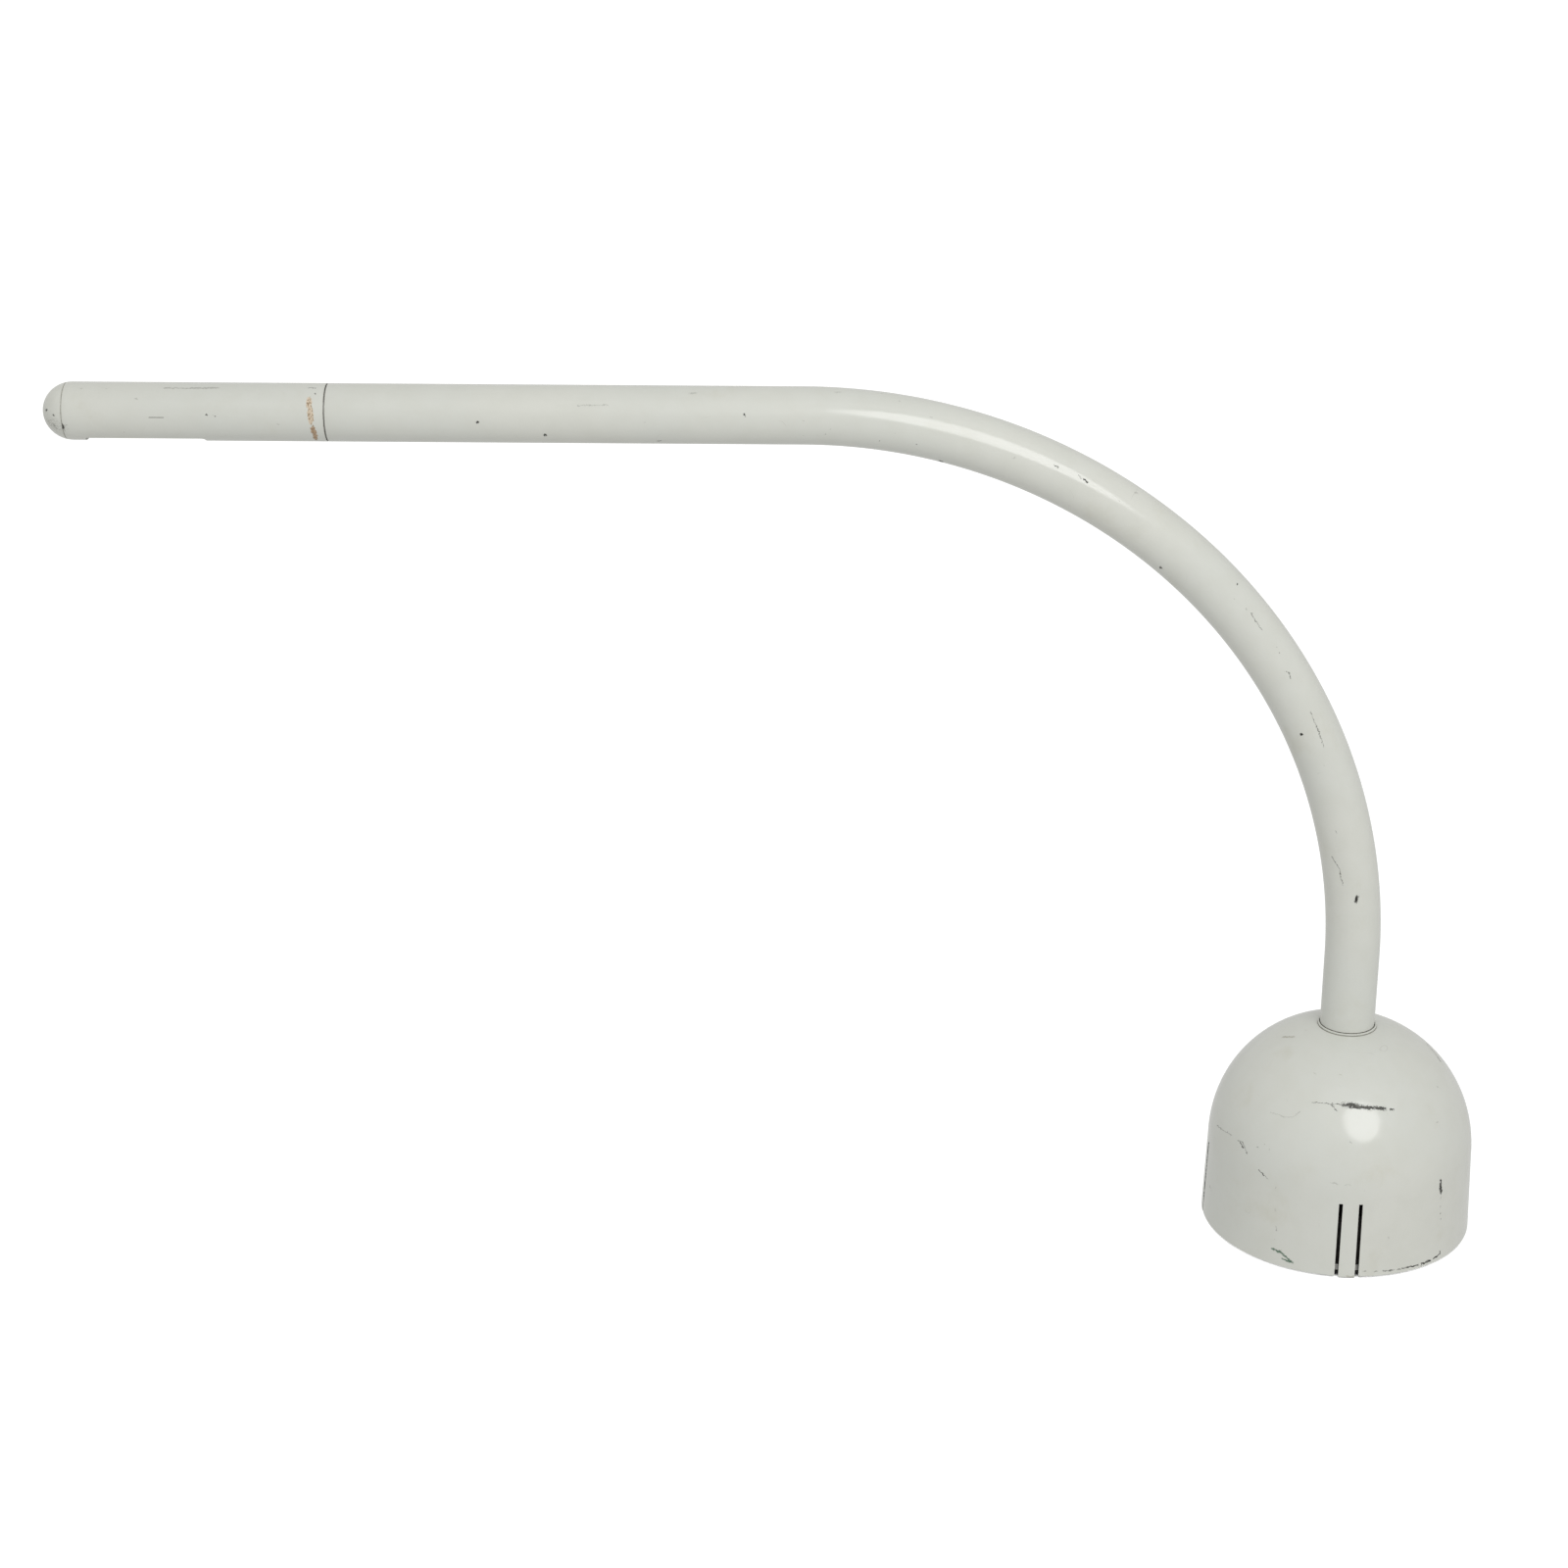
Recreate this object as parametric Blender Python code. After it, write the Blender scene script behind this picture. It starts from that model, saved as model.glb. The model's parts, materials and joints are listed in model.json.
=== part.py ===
"""Arc floor lamp: a bent tube arm that swivels on a weighted dome base and carries a tubular lamp head.

World frame: metres, +Z up, origin on the floor under the arm's upright end. The arm reaches out along -X.
"""
import math

import bmesh
import bpy
from mathutils import Matrix, Vector

QUARTER = math.pi / 2

# Driving dimensions
TUBE_RADIUS = 0.030
TUBE_WALL = 0.0015
BEND_RADIUS = 0.604
ARM_HEIGHT = 0.924
JOINT_X = -1.096
HEAD_LENGTH = 0.294
BASE_RADIUS = 0.150
WALL_TOP_RADIUS = 0.147
WALL_TOP = 0.090
DOME_HEIGHT = 0.149
DOME_EXPONENT = 2.05
BASE_TURN = math.radians(-3.28)

# Fits, and how far a cutter stands clear of what it cuts
CLEAR = 0.0003
RUNNING = 0.0004
SEAM = 0.0008
WELD = 0.00001
REACH = 0.02

# Facets round each kind of piece, and stations round the bend
TUBE_SIDES = 24
BASE_SIDES = 44
BULB_SIDES = 20
SMALL_SIDES = 12
BEND_STEPS = 18

# Base stack, from the floor up
FELT_RADIUS = 0.138
FELT_TOP = 0.005
PLATE_RADIUS = 0.1425
PLATE_BOTTOM = FELT_TOP + CLEAR
PLATE_TOP = PLATE_BOTTOM + 0.007
BALLAST_RADIUS = 0.130
BALLAST_BOTTOM = PLATE_TOP + CLEAR
BALLAST_TOP = BALLAST_BOTTOM + 0.050
FLANGE_RADIUS = 0.055
FLANGE_BOTTOM = BALLAST_TOP + CLEAR
FLANGE_TOP = FLANGE_BOTTOM + 0.006
BALLAST_SCREW_CIRCLE = 0.095
FLANGE_SCREW_CIRCLE = 0.044
TERMINAL_START = 0.062
TERMINAL_END = 0.092
TERMINAL_HALF_WIDTH = 0.012
TERMINAL_HEIGHT = 0.013
TERMINAL_PITCH = 0.0075

# Screws
SCREW_SHANK = 0.003
SCREW_LENGTH = 0.022
ARM_SCREW_RADIUS = 0.0023
ARM_SCREW_LENGTH = 0.0054
HEAD_SCREW_RADIUS = 0.0019
HEAD_SCREW_LENGTH = 0.0045
TERMINAL_SCREW_RADIUS = 0.0018
TERMINAL_SCREW_LENGTH = 0.004

# Base shell
SHELL_WALL = 0.002
SKIRT_BOTTOM = 0.002
TONGUE_BOTTOM = 0.0008
SLOT_TOP = 0.0889
SLOT_WIDTH = 0.0042
SLOT_SPACING = 0.0221
LEDGE_HALF_WIDTH = 0.005
LEDGE_HEIGHT = 0.0023
LEDGE_GRIP = 0.003
NECK_HOLE_RADIUS = 0.0317
INLET_HEIGHT = 0.030
INLET_AZIMUTH = math.radians(97) - BASE_TURN
INLET_HOLE_RADIUS = 0.0068
INLET_BORE_RADIUS = 0.005
GROMMET_SLACK = 0.0008
GROMMET_LIP = 0.0015
GROMMET_RIM = 0.003
NECK_LIP_RADIUS = 0.0324
NECK_LIP_RISE = 0.0023
NECK_SPIGOT_LENGTH = 0.009

# Swivel between base and arm
SPIGOT_RADIUS = 0.0265
SPIGOT_BORE = 0.0235
SPIGOT_TOP = 0.300
SPIGOT_GROOVE_RADIUS = 0.0252
SPIGOT_GROOVE = (0.130, 0.137)
BUSH_BORE = SPIGOT_RADIUS + RUNNING
BUSH_RADIUS = TUBE_RADIUS - TUBE_WALL - CLEAR
LOWER_BUSH_TOP = 0.105
UPPER_BUSH = (0.262, 0.294)
BUSH_FLANGE_BOTTOM = FLANGE_TOP + CLEAR
BUSH_FLANGE_TOP = BUSH_FLANGE_BOTTOM + 0.003
ARM_FOOT = BUSH_FLANGE_TOP + CLEAR
LEAD_RADIUS = 0.0027
LEAD_SPLIT = 0.160
LEAD_BEND = 0.025
LEAD_OFFSET = 0.019
LEAD_BLEND = 0.110
STOP_HALF_ANGLE = math.radians(8)

# Swivel between arm and head; distances run from the joint's plane towards the tip
COUPLER_RADIUS = 0.0281
COUPLER_BORE = 0.025
COUPLER_HALF = 0.050
COUPLER_SCREW_PLACES = (-0.020, -0.036)
CABLE_GUIDE = (-0.048, -0.040)
FRICTION_GROOVE = (0.0115, 0.0150)
FRICTION_GROOVE_RADIUS = 0.0266
RETAINING_GROOVE = (0.030, 0.037)
RETAINING_GROOVE_RADIUS = 0.0264

# Head
HEAD_BORE = TUBE_RADIUS - TUBE_WALL
SLOT_START = 0.1259
SLOT_END = 0.2502
SLOT_HALF_WIDTH = 0.0172
SLOT_CORNER = 0.004
CAP_SEAM = 0.269
END_CENTRE = 0.263
CAP_SKIRT_START = 0.255
CAP_RADIUS = 0.0281
CAP_BORE = 0.0255
CAP_WALL = 0.002
CAP_GROOVE = (0.2598, 0.2628)
CAP_GROOVE_RADIUS = 0.0269
REFLECTOR_OPENING = math.radians(40)
REFLECTOR_WALL = 0.0006
REFLECTOR_OVERLAP = 0.004
REFLECTOR_CAP_GAP = 0.002

# Lampholder
NIPPLE = (0.052, 0.072)
NIPPLE_RADIUS = 0.005
NUT_RADIUS = 0.0085
NUT_HEIGHT = 0.0042
CARRIER_START = 0.058
CARRIER_END = 0.074
CARRIER_WALL = 0.0025
CARRIER_PLATE = 0.0016
CARRIER_SCREW_PLACE = 0.067
HOLDER_END = 0.1175
HOLDER_RADIUS = 0.0195
HOLDER_BORE = 0.0178
HOLDER_WAIST_RADIUS = 0.0180
HOLDER_WAIST_BORE = 0.0160
HOLDER_FLOOR = 0.006
INSERT_START = 0.080
INSERT_END = INSERT_START + 0.006
CONTACT_RADIUS = 0.0045
CONTACT_HEIGHT = 0.0016
CONTACT_PIN_RADIUS = 0.0019
SHELL_BORE = 0.0140
SHELL_RADIUS = 0.0146
SHELL_LIP = 0.0006

# Bulb
BULB_CAP_START = 0.0928
BULB_CAP_END = 0.118
BULB_CAP_WALL = 0.0006
BULB_FOOT_RADIUS = 0.0115
BULB_THREAD_TURNS = 5
BULB_THREAD_PITCH = 0.0036
BULB_THREAD_CREST = 0.0132
BULB_THREAD_ROOT = 0.0124
BULB_TIP = 0.2325
BULB_RADIUS = 0.015
BULB_NECK_RADIUS = 0.0122
BULB_SHOULDER = BULB_CAP_END + 0.012
GLASS_START = BULB_CAP_END - 0.002
GLASS_WALL = 0.001
STEM_FOOT_RADIUS = 0.0075
STEM_RADIUS = 0.003
STEM_TIP_RADIUS = 0.0022
STEM_LENGTH = 0.030
FILAMENT_RADIUS = 0.0004
FILAMENT_HALF_WIDTH = 0.007
FILAMENT_END = 0.2145
CORE_RADIUS = 0.0009
CORE_SPREAD = 0.0013
CORE_HOLDER_SPREAD = 0.0055


def clear_scene():
    """Remove whatever the scene starts with."""
    for item in list(bpy.data.objects):
        bpy.data.objects.remove(item, do_unlink=True)


def finish(name, colour, roughness, metallic=0.0):
    """Make a Principled material."""
    material = bpy.data.materials.new(name)
    material.use_nodes = True
    shader = material.node_tree.nodes["Principled BSDF"]
    shader.inputs["Base Color"].default_value = (*colour, 1.0)
    shader.inputs["Roughness"].default_value = roughness
    shader.inputs["Metallic"].default_value = metallic
    material.diffuse_color = (*colour, 1.0)
    return material


def make_finishes():
    """Make every finish that the lamp uses."""
    return {
        "enamel": finish("enamel", (0.60, 0.61, 0.57), 0.30),
        "steel": finish("steel", (0.46, 0.46, 0.45), 0.40, 1.0),
        "zinc": finish("zinc", (0.58, 0.58, 0.56), 0.35, 1.0),
        "iron": finish("iron", (0.03, 0.03, 0.03), 0.75),
        "felt": finish("felt", (0.05, 0.05, 0.05), 0.95),
        "rubber": finish("rubber", (0.03, 0.03, 0.03), 0.70),
        "nylon": finish("nylon", (0.72, 0.70, 0.64), 0.50),
        "bakelite": finish("bakelite", (0.02, 0.02, 0.02), 0.30),
        "porcelain": finish("porcelain", (0.80, 0.79, 0.75), 0.25),
        "brass": finish("brass", (0.78, 0.57, 0.26), 0.30, 1.0),
        "aluminium": finish("aluminium", (0.80, 0.80, 0.80), 0.20, 1.0),
        "glass": finish("glass", (0.95, 0.95, 0.93), 0.05),
        "tungsten": finish("tungsten", (0.25, 0.25, 0.25), 0.45, 1.0),
        "sheath": finish("sheath", (0.62, 0.61, 0.57), 0.55),
        "live": finish("live", (0.25, 0.10, 0.04), 0.50),
        "neutral": finish("neutral", (0.05, 0.13, 0.45), 0.50),
    }


def make_frame(name, location, rotation=(0.0, 0.0, 0.0), parent=None):
    """Make an empty that a group of pieces is placed by."""
    empty = bpy.data.objects.new(name, None)
    bpy.context.collection.objects.link(empty)
    empty.location = location
    empty.rotation_euler = rotation
    empty.parent = parent
    return empty


def add_object(name, data, material, frame, location=(0.0, 0.0, 0.0), rotation=(0.0, 0.0, 0.0)):
    """Link a mesh or curve as an object under a frame."""
    item = bpy.data.objects.new(name, data)
    bpy.context.collection.objects.link(item)
    item.parent = frame
    item.location = location
    item.rotation_euler = rotation
    if material:
        data.materials.append(material)
    return item


def close_mesh(name, shape, smooth_below=math.radians(35)):
    """Turn a bmesh into a mesh with outward faces, smooth except at sharp edges."""
    bmesh.ops.recalc_face_normals(shape, faces=shape.faces)
    mesh = bpy.data.meshes.new(name)
    shape.to_mesh(mesh)
    shape.free()
    mesh.shade_smooth()
    mesh.set_sharp_from_angle(angle=smooth_below)
    return mesh


def turned_mesh(name, outline, sides):
    """Spin an outline of (radius, height) points round Z. One that starts and ends at radius 0 is solid."""
    shape = bmesh.new()
    points = [shape.verts.new((radius, 0.0, height)) for radius, height in outline]
    edges = [shape.edges.new(pair) for pair in zip(points, points[1:])]
    if outline[0][0] > 0.0:
        edges.append(shape.edges.new((points[-1], points[0])))
    bmesh.ops.spin(shape, geom=points + edges, axis=(0, 0, 1), cent=(0, 0, 0), steps=sides,
                   angle=2 * math.pi, use_merge=True)
    bmesh.ops.remove_doubles(shape, verts=shape.verts, dist=WELD)
    return close_mesh(name, shape)


def skinned_mesh(name, rings, capped):
    """Skin matching rings of points: capped at both ends, or joined end to end like a torus."""
    shape = bmesh.new()
    loops = [[shape.verts.new(point) for point in ring] for ring in rings]
    pairs = list(zip(loops, loops[1:]))
    if not capped:
        pairs.append((loops[-1], loops[0]))
    for low, high in pairs:
        for side, corner in enumerate(low):
            after = (side + 1) % len(low)
            shape.faces.new((corner, low[after], high[after], high[side]))
    if capped:
        shape.faces.new(loops[0])
        shape.faces.new(loops[-1])
    return close_mesh(name, shape)


def box_mesh(name, low, high):
    """Make a box between two corners."""
    corners = [(low[0], low[1]), (high[0], low[1]), (high[0], high[1]), (low[0], high[1])]
    rings = [[(x, y, z) for x, y in corners] for z in (low[2], high[2])]
    return skinned_mesh(name, rings, capped=True)


def sector_mesh(name, radii, heights, start, sweep, steps):
    """Make a block that follows a circle round Z from a start angle."""
    inner, outer = radii
    low, high = heights
    section = [(inner, low), (outer, low), (outer, high), (inner, high)]
    rings = []
    for step in range(steps + 1):
        angle = start + sweep * step / steps
        rings.append([(radius * math.cos(angle), radius * math.sin(angle), z) for radius, z in section])
    return skinned_mesh(name, rings, capped=True)


def circle(radius, sides):
    """Points of a circle in the XY plane."""
    angles = [2 * math.pi * side / sides for side in range(sides)]
    return [Vector((radius * math.cos(angle), radius * math.sin(angle), 0.0)) for angle in angles]


def joined(meshes):
    """Join several meshes into the first."""
    shape = bmesh.new()
    for mesh in meshes:
        shape.from_mesh(mesh)
    shape.to_mesh(meshes[0])
    shape.free()
    return meshes[0]


def apply_tool(target, operation, mesh, frame, location=(0.0, 0.0, 0.0), rotation=(0.0, 0.0, 0.0)):
    """Cut a target with a tool mesh, or join the two. The tool itself isn't part of the lamp."""
    tool = add_object(mesh.name, mesh, None, frame, location, rotation)
    tool.hide_render = True
    tool.display_type = "WIRE"
    modifier = target.modifiers.new(operation.lower(), "BOOLEAN")
    modifier.operation = operation
    modifier.solver = "EXACT"
    modifier.object = tool


def drill(target, name, frame, radius, start, direction, depth):
    """Cut a round hole from a start point along a direction."""
    outline = [(0.0, depth), (radius, depth), (radius, 0.0), (0.0, 0.0)]
    aim = Vector(direction).to_track_quat("Z", "Y").to_euler()
    apply_tool(target, "DIFFERENCE", turned_mesh(name, outline, SMALL_SIDES), frame, start, aim)


def headed_screw_mesh(name, head_radius, head_height):
    """A screw along Z: its shank from 0 down, its drilled head from 0 up."""
    socket = head_radius / 2
    floor = head_height * 0.4
    outline = [(0.0, floor), (socket, floor), (socket, head_height), (head_radius, head_height)]
    outline += [(head_radius, 0.0), (SCREW_SHANK, 0.0), (SCREW_SHANK, SCREW_SHANK - SCREW_LENGTH)]
    outline.append((0.0, -SCREW_LENGTH))
    return turned_mesh(name, outline, SMALL_SIDES)


def set_screw_mesh(name, length, radius):
    """A headless screw along Z: its socket at 0, its tip below."""
    socket = radius / 2
    tip = radius * 0.75
    outline = [(0.0, -radius), (socket, -radius), (socket, 0.0), (radius, 0.0)]
    outline += [(radius, radius - length), (tip, -length), (0.0, -length)]
    return turned_mesh(name, outline, SMALL_SIDES)


def lead(name, points, radius, material, frame, resolution=2):
    """A round wire or cable along points."""
    curve = bpy.data.curves.new(name, "CURVE")
    curve.dimensions = "3D"
    curve.bevel_depth = radius
    curve.bevel_resolution = resolution
    curve.use_fill_caps = True
    spline = curve.splines.new("POLY")
    spline.points.add(len(points) - 1)
    for place, point in zip(spline.points, points):
        place.co = (*point, 1.0)
    return add_object(name, curve, material, frame)


def dome_outline(inset):
    """Points from the skirt's lower edge to the neck hole, moved in from the outside by a distance."""
    radius = WALL_TOP_RADIUS - inset
    height = DOME_HEIGHT - inset
    end_angle = math.acos((NECK_HOLE_RADIUS / radius) ** (DOME_EXPONENT / 2))
    steps = 7
    outline = [(BASE_RADIUS - inset, TONGUE_BOTTOM)]
    for step in range(steps + 1):
        angle = end_angle * step / steps
        reach = radius * math.cos(angle) ** (2 / DOME_EXPONENT)
        rise = height * math.sin(angle) ** (2 / DOME_EXPONENT)
        outline.append((reach, WALL_TOP + rise))
    return outline


def dome_height_at(reach):
    """Height of the dome's outside at a distance from the axis."""
    angle = math.acos((reach / WALL_TOP_RADIUS) ** (DOME_EXPONENT / 2))
    return WALL_TOP + DOME_HEIGHT * math.sin(angle) ** (2 / DOME_EXPONENT)


def wall_radius_at(height):
    """Outside radius of the base's tapered wall at a height."""
    share = height / WALL_TOP
    return BASE_RADIUS + (WALL_TOP_RADIUS - BASE_RADIUS) * share


def make_base_shell(finishes, frame):
    """The spun cover: a dome with four spring tongues, each between two slots, that clip to the plate."""
    outline = dome_outline(0.0) + dome_outline(SHELL_WALL)[::-1]
    mesh = turned_mesh("base_shell", outline, BASE_SIDES)
    shell = add_object("base_shell", mesh, finishes["enamel"], frame)
    slot_low = SLOT_SPACING / 2 - SLOT_WIDTH / 2
    slot_high = SLOT_SPACING / 2 + SLOT_WIDTH / 2
    slots = []
    ledges = []
    gaps = []
    slot_angle = SLOT_SPACING / 2 / BASE_RADIUS
    radii = (BASE_RADIUS - REACH, BASE_RADIUS + REACH)
    ledge_inner = PLATE_RADIUS - LEDGE_GRIP
    ledge_outer = BASE_RADIUS - SHELL_WALL / 2
    for quarter in range(4):
        turn = Matrix.Rotation(quarter * QUARTER, 4, "Z")
        for side in (-1, 1):
            edges = sorted((side * slot_low, side * slot_high))
            low, high = (radii[0], edges[0], -REACH), (radii[1], edges[1], SLOT_TOP)
            slot = box_mesh("slot", low, high)
            slot.transform(turn)
            slots.append(slot)
        lower = (PLATE_BOTTOM - CLEAR - LEDGE_HEIGHT, PLATE_BOTTOM - CLEAR)
        upper = (PLATE_TOP + CLEAR, PLATE_TOP + CLEAR + LEDGE_HEIGHT)
        for bottom, top in (lower, upper):
            low, high = (ledge_inner, -LEDGE_HALF_WIDTH, bottom), (ledge_outer, LEDGE_HALF_WIDTH, top)
            ledge = box_mesh("ledge", low, high)
            ledge.transform(turn)
            ledges.append(ledge)
        start = quarter * QUARTER + slot_angle
        sweep = QUARTER - 2 * slot_angle
        gaps.append(sector_mesh("gap", radii, (-REACH, SKIRT_BOTTOM), start, sweep, BASE_SIDES // 4 + 1))
    apply_tool(shell, "UNION", joined(ledges), frame)
    apply_tool(shell, "DIFFERENCE", joined(slots), frame)
    apply_tool(shell, "DIFFERENCE", joined(gaps), frame)
    outward = Vector((math.cos(INLET_AZIMUTH), math.sin(INLET_AZIMUTH), 0.0))
    start = outward * (BASE_RADIUS - REACH / 2) + Vector((0.0, 0.0, INLET_HEIGHT))
    drill(shell, "inlet_hole", frame, INLET_HOLE_RADIUS, start, outward, REACH)


def make_cable_grommet(finishes, frame):
    """The rubber ring that lines the cable's way in."""
    half_wall = SHELL_WALL / 2 + GROMMET_SLACK
    half_length = half_wall + GROMMET_LIP
    neck = INLET_HOLE_RADIUS - CLEAR
    rim = neck + GROMMET_RIM
    outline = [(INLET_BORE_RADIUS, half_length), (rim, half_length), (rim, half_wall), (neck, half_wall)]
    outline += [(radius, -height) for radius, height in reversed(outline)]
    mesh = turned_mesh("cable_grommet", outline, SMALL_SIDES)
    outward = Vector((math.cos(INLET_AZIMUTH), math.sin(INLET_AZIMUTH), 0.0))
    centre = outward * (wall_radius_at(INLET_HEIGHT) - SHELL_WALL / 2) + Vector((0.0, 0.0, INLET_HEIGHT))
    aim = outward.to_track_quat("Z", "Y").to_euler()
    add_object("cable_grommet", mesh, finishes["rubber"], frame, centre, aim)


def make_neck_ring(finishes, frame):
    """The collar between the shell and the arm: a lip on the dome and a spigot in its hole."""
    bore = TUBE_RADIUS + RUNNING
    lip = NECK_LIP_RADIUS
    spigot = NECK_HOLE_RADIUS - CLEAR
    seat = dome_height_at(spigot) + CLEAR
    top = dome_height_at(lip) + NECK_LIP_RISE
    edge = 0.0004
    outline = [(bore, top), (lip - edge, top), (lip, top - edge), (lip, seat), (spigot, seat)]
    outline += [(spigot, seat - NECK_SPIGOT_LENGTH), (bore, seat - NECK_SPIGOT_LENGTH)]
    add_object("neck_ring", turned_mesh("neck_ring", outline, BASE_SIDES), finishes["enamel"], frame)


def make_base_stack(finishes, frame):
    """Felt, plate, ballast and the screws that hold them."""
    felt = [(0.0, FELT_TOP), (FELT_RADIUS, FELT_TOP), (FELT_RADIUS, 0.0), (0.0, 0.0)]
    add_object("felt_pad", turned_mesh("felt_pad", felt, BASE_SIDES), finishes["felt"], frame)
    edge = 0.0006
    disc = [(0.0, PLATE_TOP), (PLATE_RADIUS - edge, PLATE_TOP), (PLATE_RADIUS, PLATE_TOP - edge)]
    disc += [(PLATE_RADIUS, PLATE_BOTTOM + edge), (PLATE_RADIUS - edge, PLATE_BOTTOM), (0.0, PLATE_BOTTOM)]
    plate = add_object("base_plate", turned_mesh("base_plate", disc, BASE_SIDES), finishes["steel"], frame)
    edge = 0.003
    block = [(0.0, BALLAST_TOP), (BALLAST_RADIUS - edge, BALLAST_TOP), (BALLAST_RADIUS, BALLAST_TOP - edge)]
    block += [(BALLAST_RADIUS, BALLAST_BOTTOM), (0.0, BALLAST_BOTTOM)]
    mesh = turned_mesh("ballast_weight", block, BASE_SIDES)
    ballast = add_object("ballast_weight", mesh, finishes["iron"], frame)
    head_radius = 0.0055
    head_height = 0.0035
    below_plate = 0.002
    mesh = headed_screw_mesh("ballast_screw", head_radius, head_height)
    up = Vector((0.0, 0.0, 1.0))
    hole = SCREW_SHANK + CLEAR
    recess = below_plate + head_height
    for quarter in range(4):
        spot = Matrix.Rotation(quarter * QUARTER, 3, "Z") @ Vector((BALLAST_SCREW_CIRCLE, 0.0, 0.0))
        spot.z = PLATE_BOTTOM + head_height + CLEAR
        below = spot - up * recess
        drill(plate, "screw_recess", frame, head_radius + CLEAR, below, up, recess + CLEAR)
        drill(plate, "screw_hole", frame, hole, below, up, REACH)
        drill(ballast, "screw_hole", frame, hole, below, up, recess + SCREW_LENGTH + CLEAR)
        name = f"ballast_screw_{quarter + 1}"
        add_object(name, mesh, finishes["zinc"], frame, spot, (math.pi, 0.0, 0.0))
    return ballast


def make_stem_spigot(finishes, frame, ballast):
    """The flanged post that the arm turns on, with its screws and its swivel stop."""
    groove_low, groove_high = SPIGOT_GROOVE
    edge = 0.001
    outline = [(SPIGOT_BORE, SPIGOT_TOP), (SPIGOT_RADIUS - edge, SPIGOT_TOP)]
    outline += [(SPIGOT_RADIUS, SPIGOT_TOP - edge)]
    outline += [(SPIGOT_RADIUS, groove_high), (SPIGOT_GROOVE_RADIUS, groove_high)]
    outline += [(SPIGOT_GROOVE_RADIUS, groove_low), (SPIGOT_RADIUS, groove_low), (SPIGOT_RADIUS, FLANGE_TOP)]
    outline += [(FLANGE_RADIUS, FLANGE_TOP), (FLANGE_RADIUS, FLANGE_BOTTOM), (SPIGOT_BORE, FLANGE_BOTTOM)]
    mesh = turned_mesh("stem_spigot", outline, TUBE_SIDES)
    spigot = add_object("stem_spigot", mesh, finishes["steel"], frame)
    half_way = LEAD_RADIUS + 0.001
    low = (SPIGOT_BORE / 2, -half_way, FLANGE_BOTTOM - REACH)
    high = (FLANGE_RADIUS + REACH, half_way, FLANGE_TOP - CLEAR / 3)
    apply_tool(spigot, "DIFFERENCE", box_mesh("lead_way", low, high), frame)
    head = 0.005
    above_flange = 0.003
    mesh = headed_screw_mesh("flange_screw", head, head)
    down = Vector((0.0, 0.0, -1.0))
    hole = SCREW_SHANK + CLEAR
    for quarter in range(4):
        spot = Matrix.Rotation((quarter + 0.5) * QUARTER, 3, "Z") @ Vector((FLANGE_SCREW_CIRCLE, 0.0, 0.0))
        spot.z = FLANGE_TOP + CLEAR
        above = spot - down * above_flange
        drill(spigot, "screw_hole", frame, hole, above, down, REACH)
        drill(ballast, "screw_hole", frame, hole, above, down, above_flange + SCREW_LENGTH + CLEAR)
        add_object(f"flange_screw_{quarter + 1}", mesh, finishes["zinc"], frame, spot)
    radii = (SPIGOT_GROOVE_RADIUS + CLEAR, SPIGOT_RADIUS - CLEAR / 2)
    heights = (groove_low + CLEAR, groove_high - CLEAR)
    start = math.pi - STOP_HALF_ANGLE - BASE_TURN
    key = sector_mesh("spigot_stop_key", radii, heights, start, 2 * STOP_HALF_ANGLE, 4)
    add_object("spigot_stop_key", key, finishes["steel"], frame)


def make_base_wiring(finishes, frame):
    """Terminal block on the ballast, and the lead from it to the arm's axis."""
    low = Vector((TERMINAL_START, -TERMINAL_HALF_WIDTH, FLANGE_BOTTOM))
    high = Vector((TERMINAL_END, TERMINAL_HALF_WIDTH, FLANGE_BOTTOM + TERMINAL_HEIGHT))
    block = add_object("terminal_block", box_mesh("terminal_block", low, high), finishes["nylon"], frame)
    mesh = set_screw_mesh("terminal_screw", TERMINAL_SCREW_LENGTH, TERMINAL_SCREW_RADIUS)
    sunk = 0.001
    well_radius = TERMINAL_SCREW_RADIUS + CLEAR
    well_depth = 0.006
    middle = (TERMINAL_START + TERMINAL_END) / 2
    for place in range(3):
        side = (place - 1) * TERMINAL_PITCH
        top = (middle, side, high.z + sunk)
        drill(block, "terminal_well", frame, well_radius, top, (0.0, 0.0, -1.0), well_depth + 2 * sunk)
        spot = (middle, side, high.z - sunk)
        add_object(f"terminal_screw_{place + 1}", mesh, finishes["brass"], frame, spot)
    run = FLANGE_BOTTOM + CLEAR + LEAD_RADIUS
    points = [(low.x - CLEAR, 0.0, run)]
    bend_steps = 8
    for step in range(bend_steps + 1):
        angle = QUARTER * step / bend_steps
        rise = LEAD_BEND * (1 - math.cos(angle))
        points.append((LEAD_BEND * (1 - math.sin(angle)), 0.0, run + rise))
    points.append((0.0, 0.0, (run + LEAD_BEND + LEAD_SPLIT) / 2))
    points.append((0.0, 0.0, LEAD_SPLIT - CLEAR))
    lead("base_lead", points, LEAD_RADIUS, finishes["sheath"], frame)


def arm_station(distance):
    """Matrix that carries a section in the XY plane to a place on the arm's centre line."""
    rise = ARM_HEIGHT - BEND_RADIUS
    bend = BEND_RADIUS * QUARTER
    if distance <= rise:
        return Matrix.Translation((0.0, 0.0, distance))
    angle = min(distance - rise, bend) / BEND_RADIUS
    centre = Vector((-BEND_RADIUS, 0.0, rise))
    turn = Matrix.Translation(centre) @ Matrix.Rotation(-angle, 4, "Y") @ Matrix.Translation(-centre)
    run = max(distance - rise - bend, 0.0)
    return turn @ Matrix.Translation((0.0, 0.0, rise + run))


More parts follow.
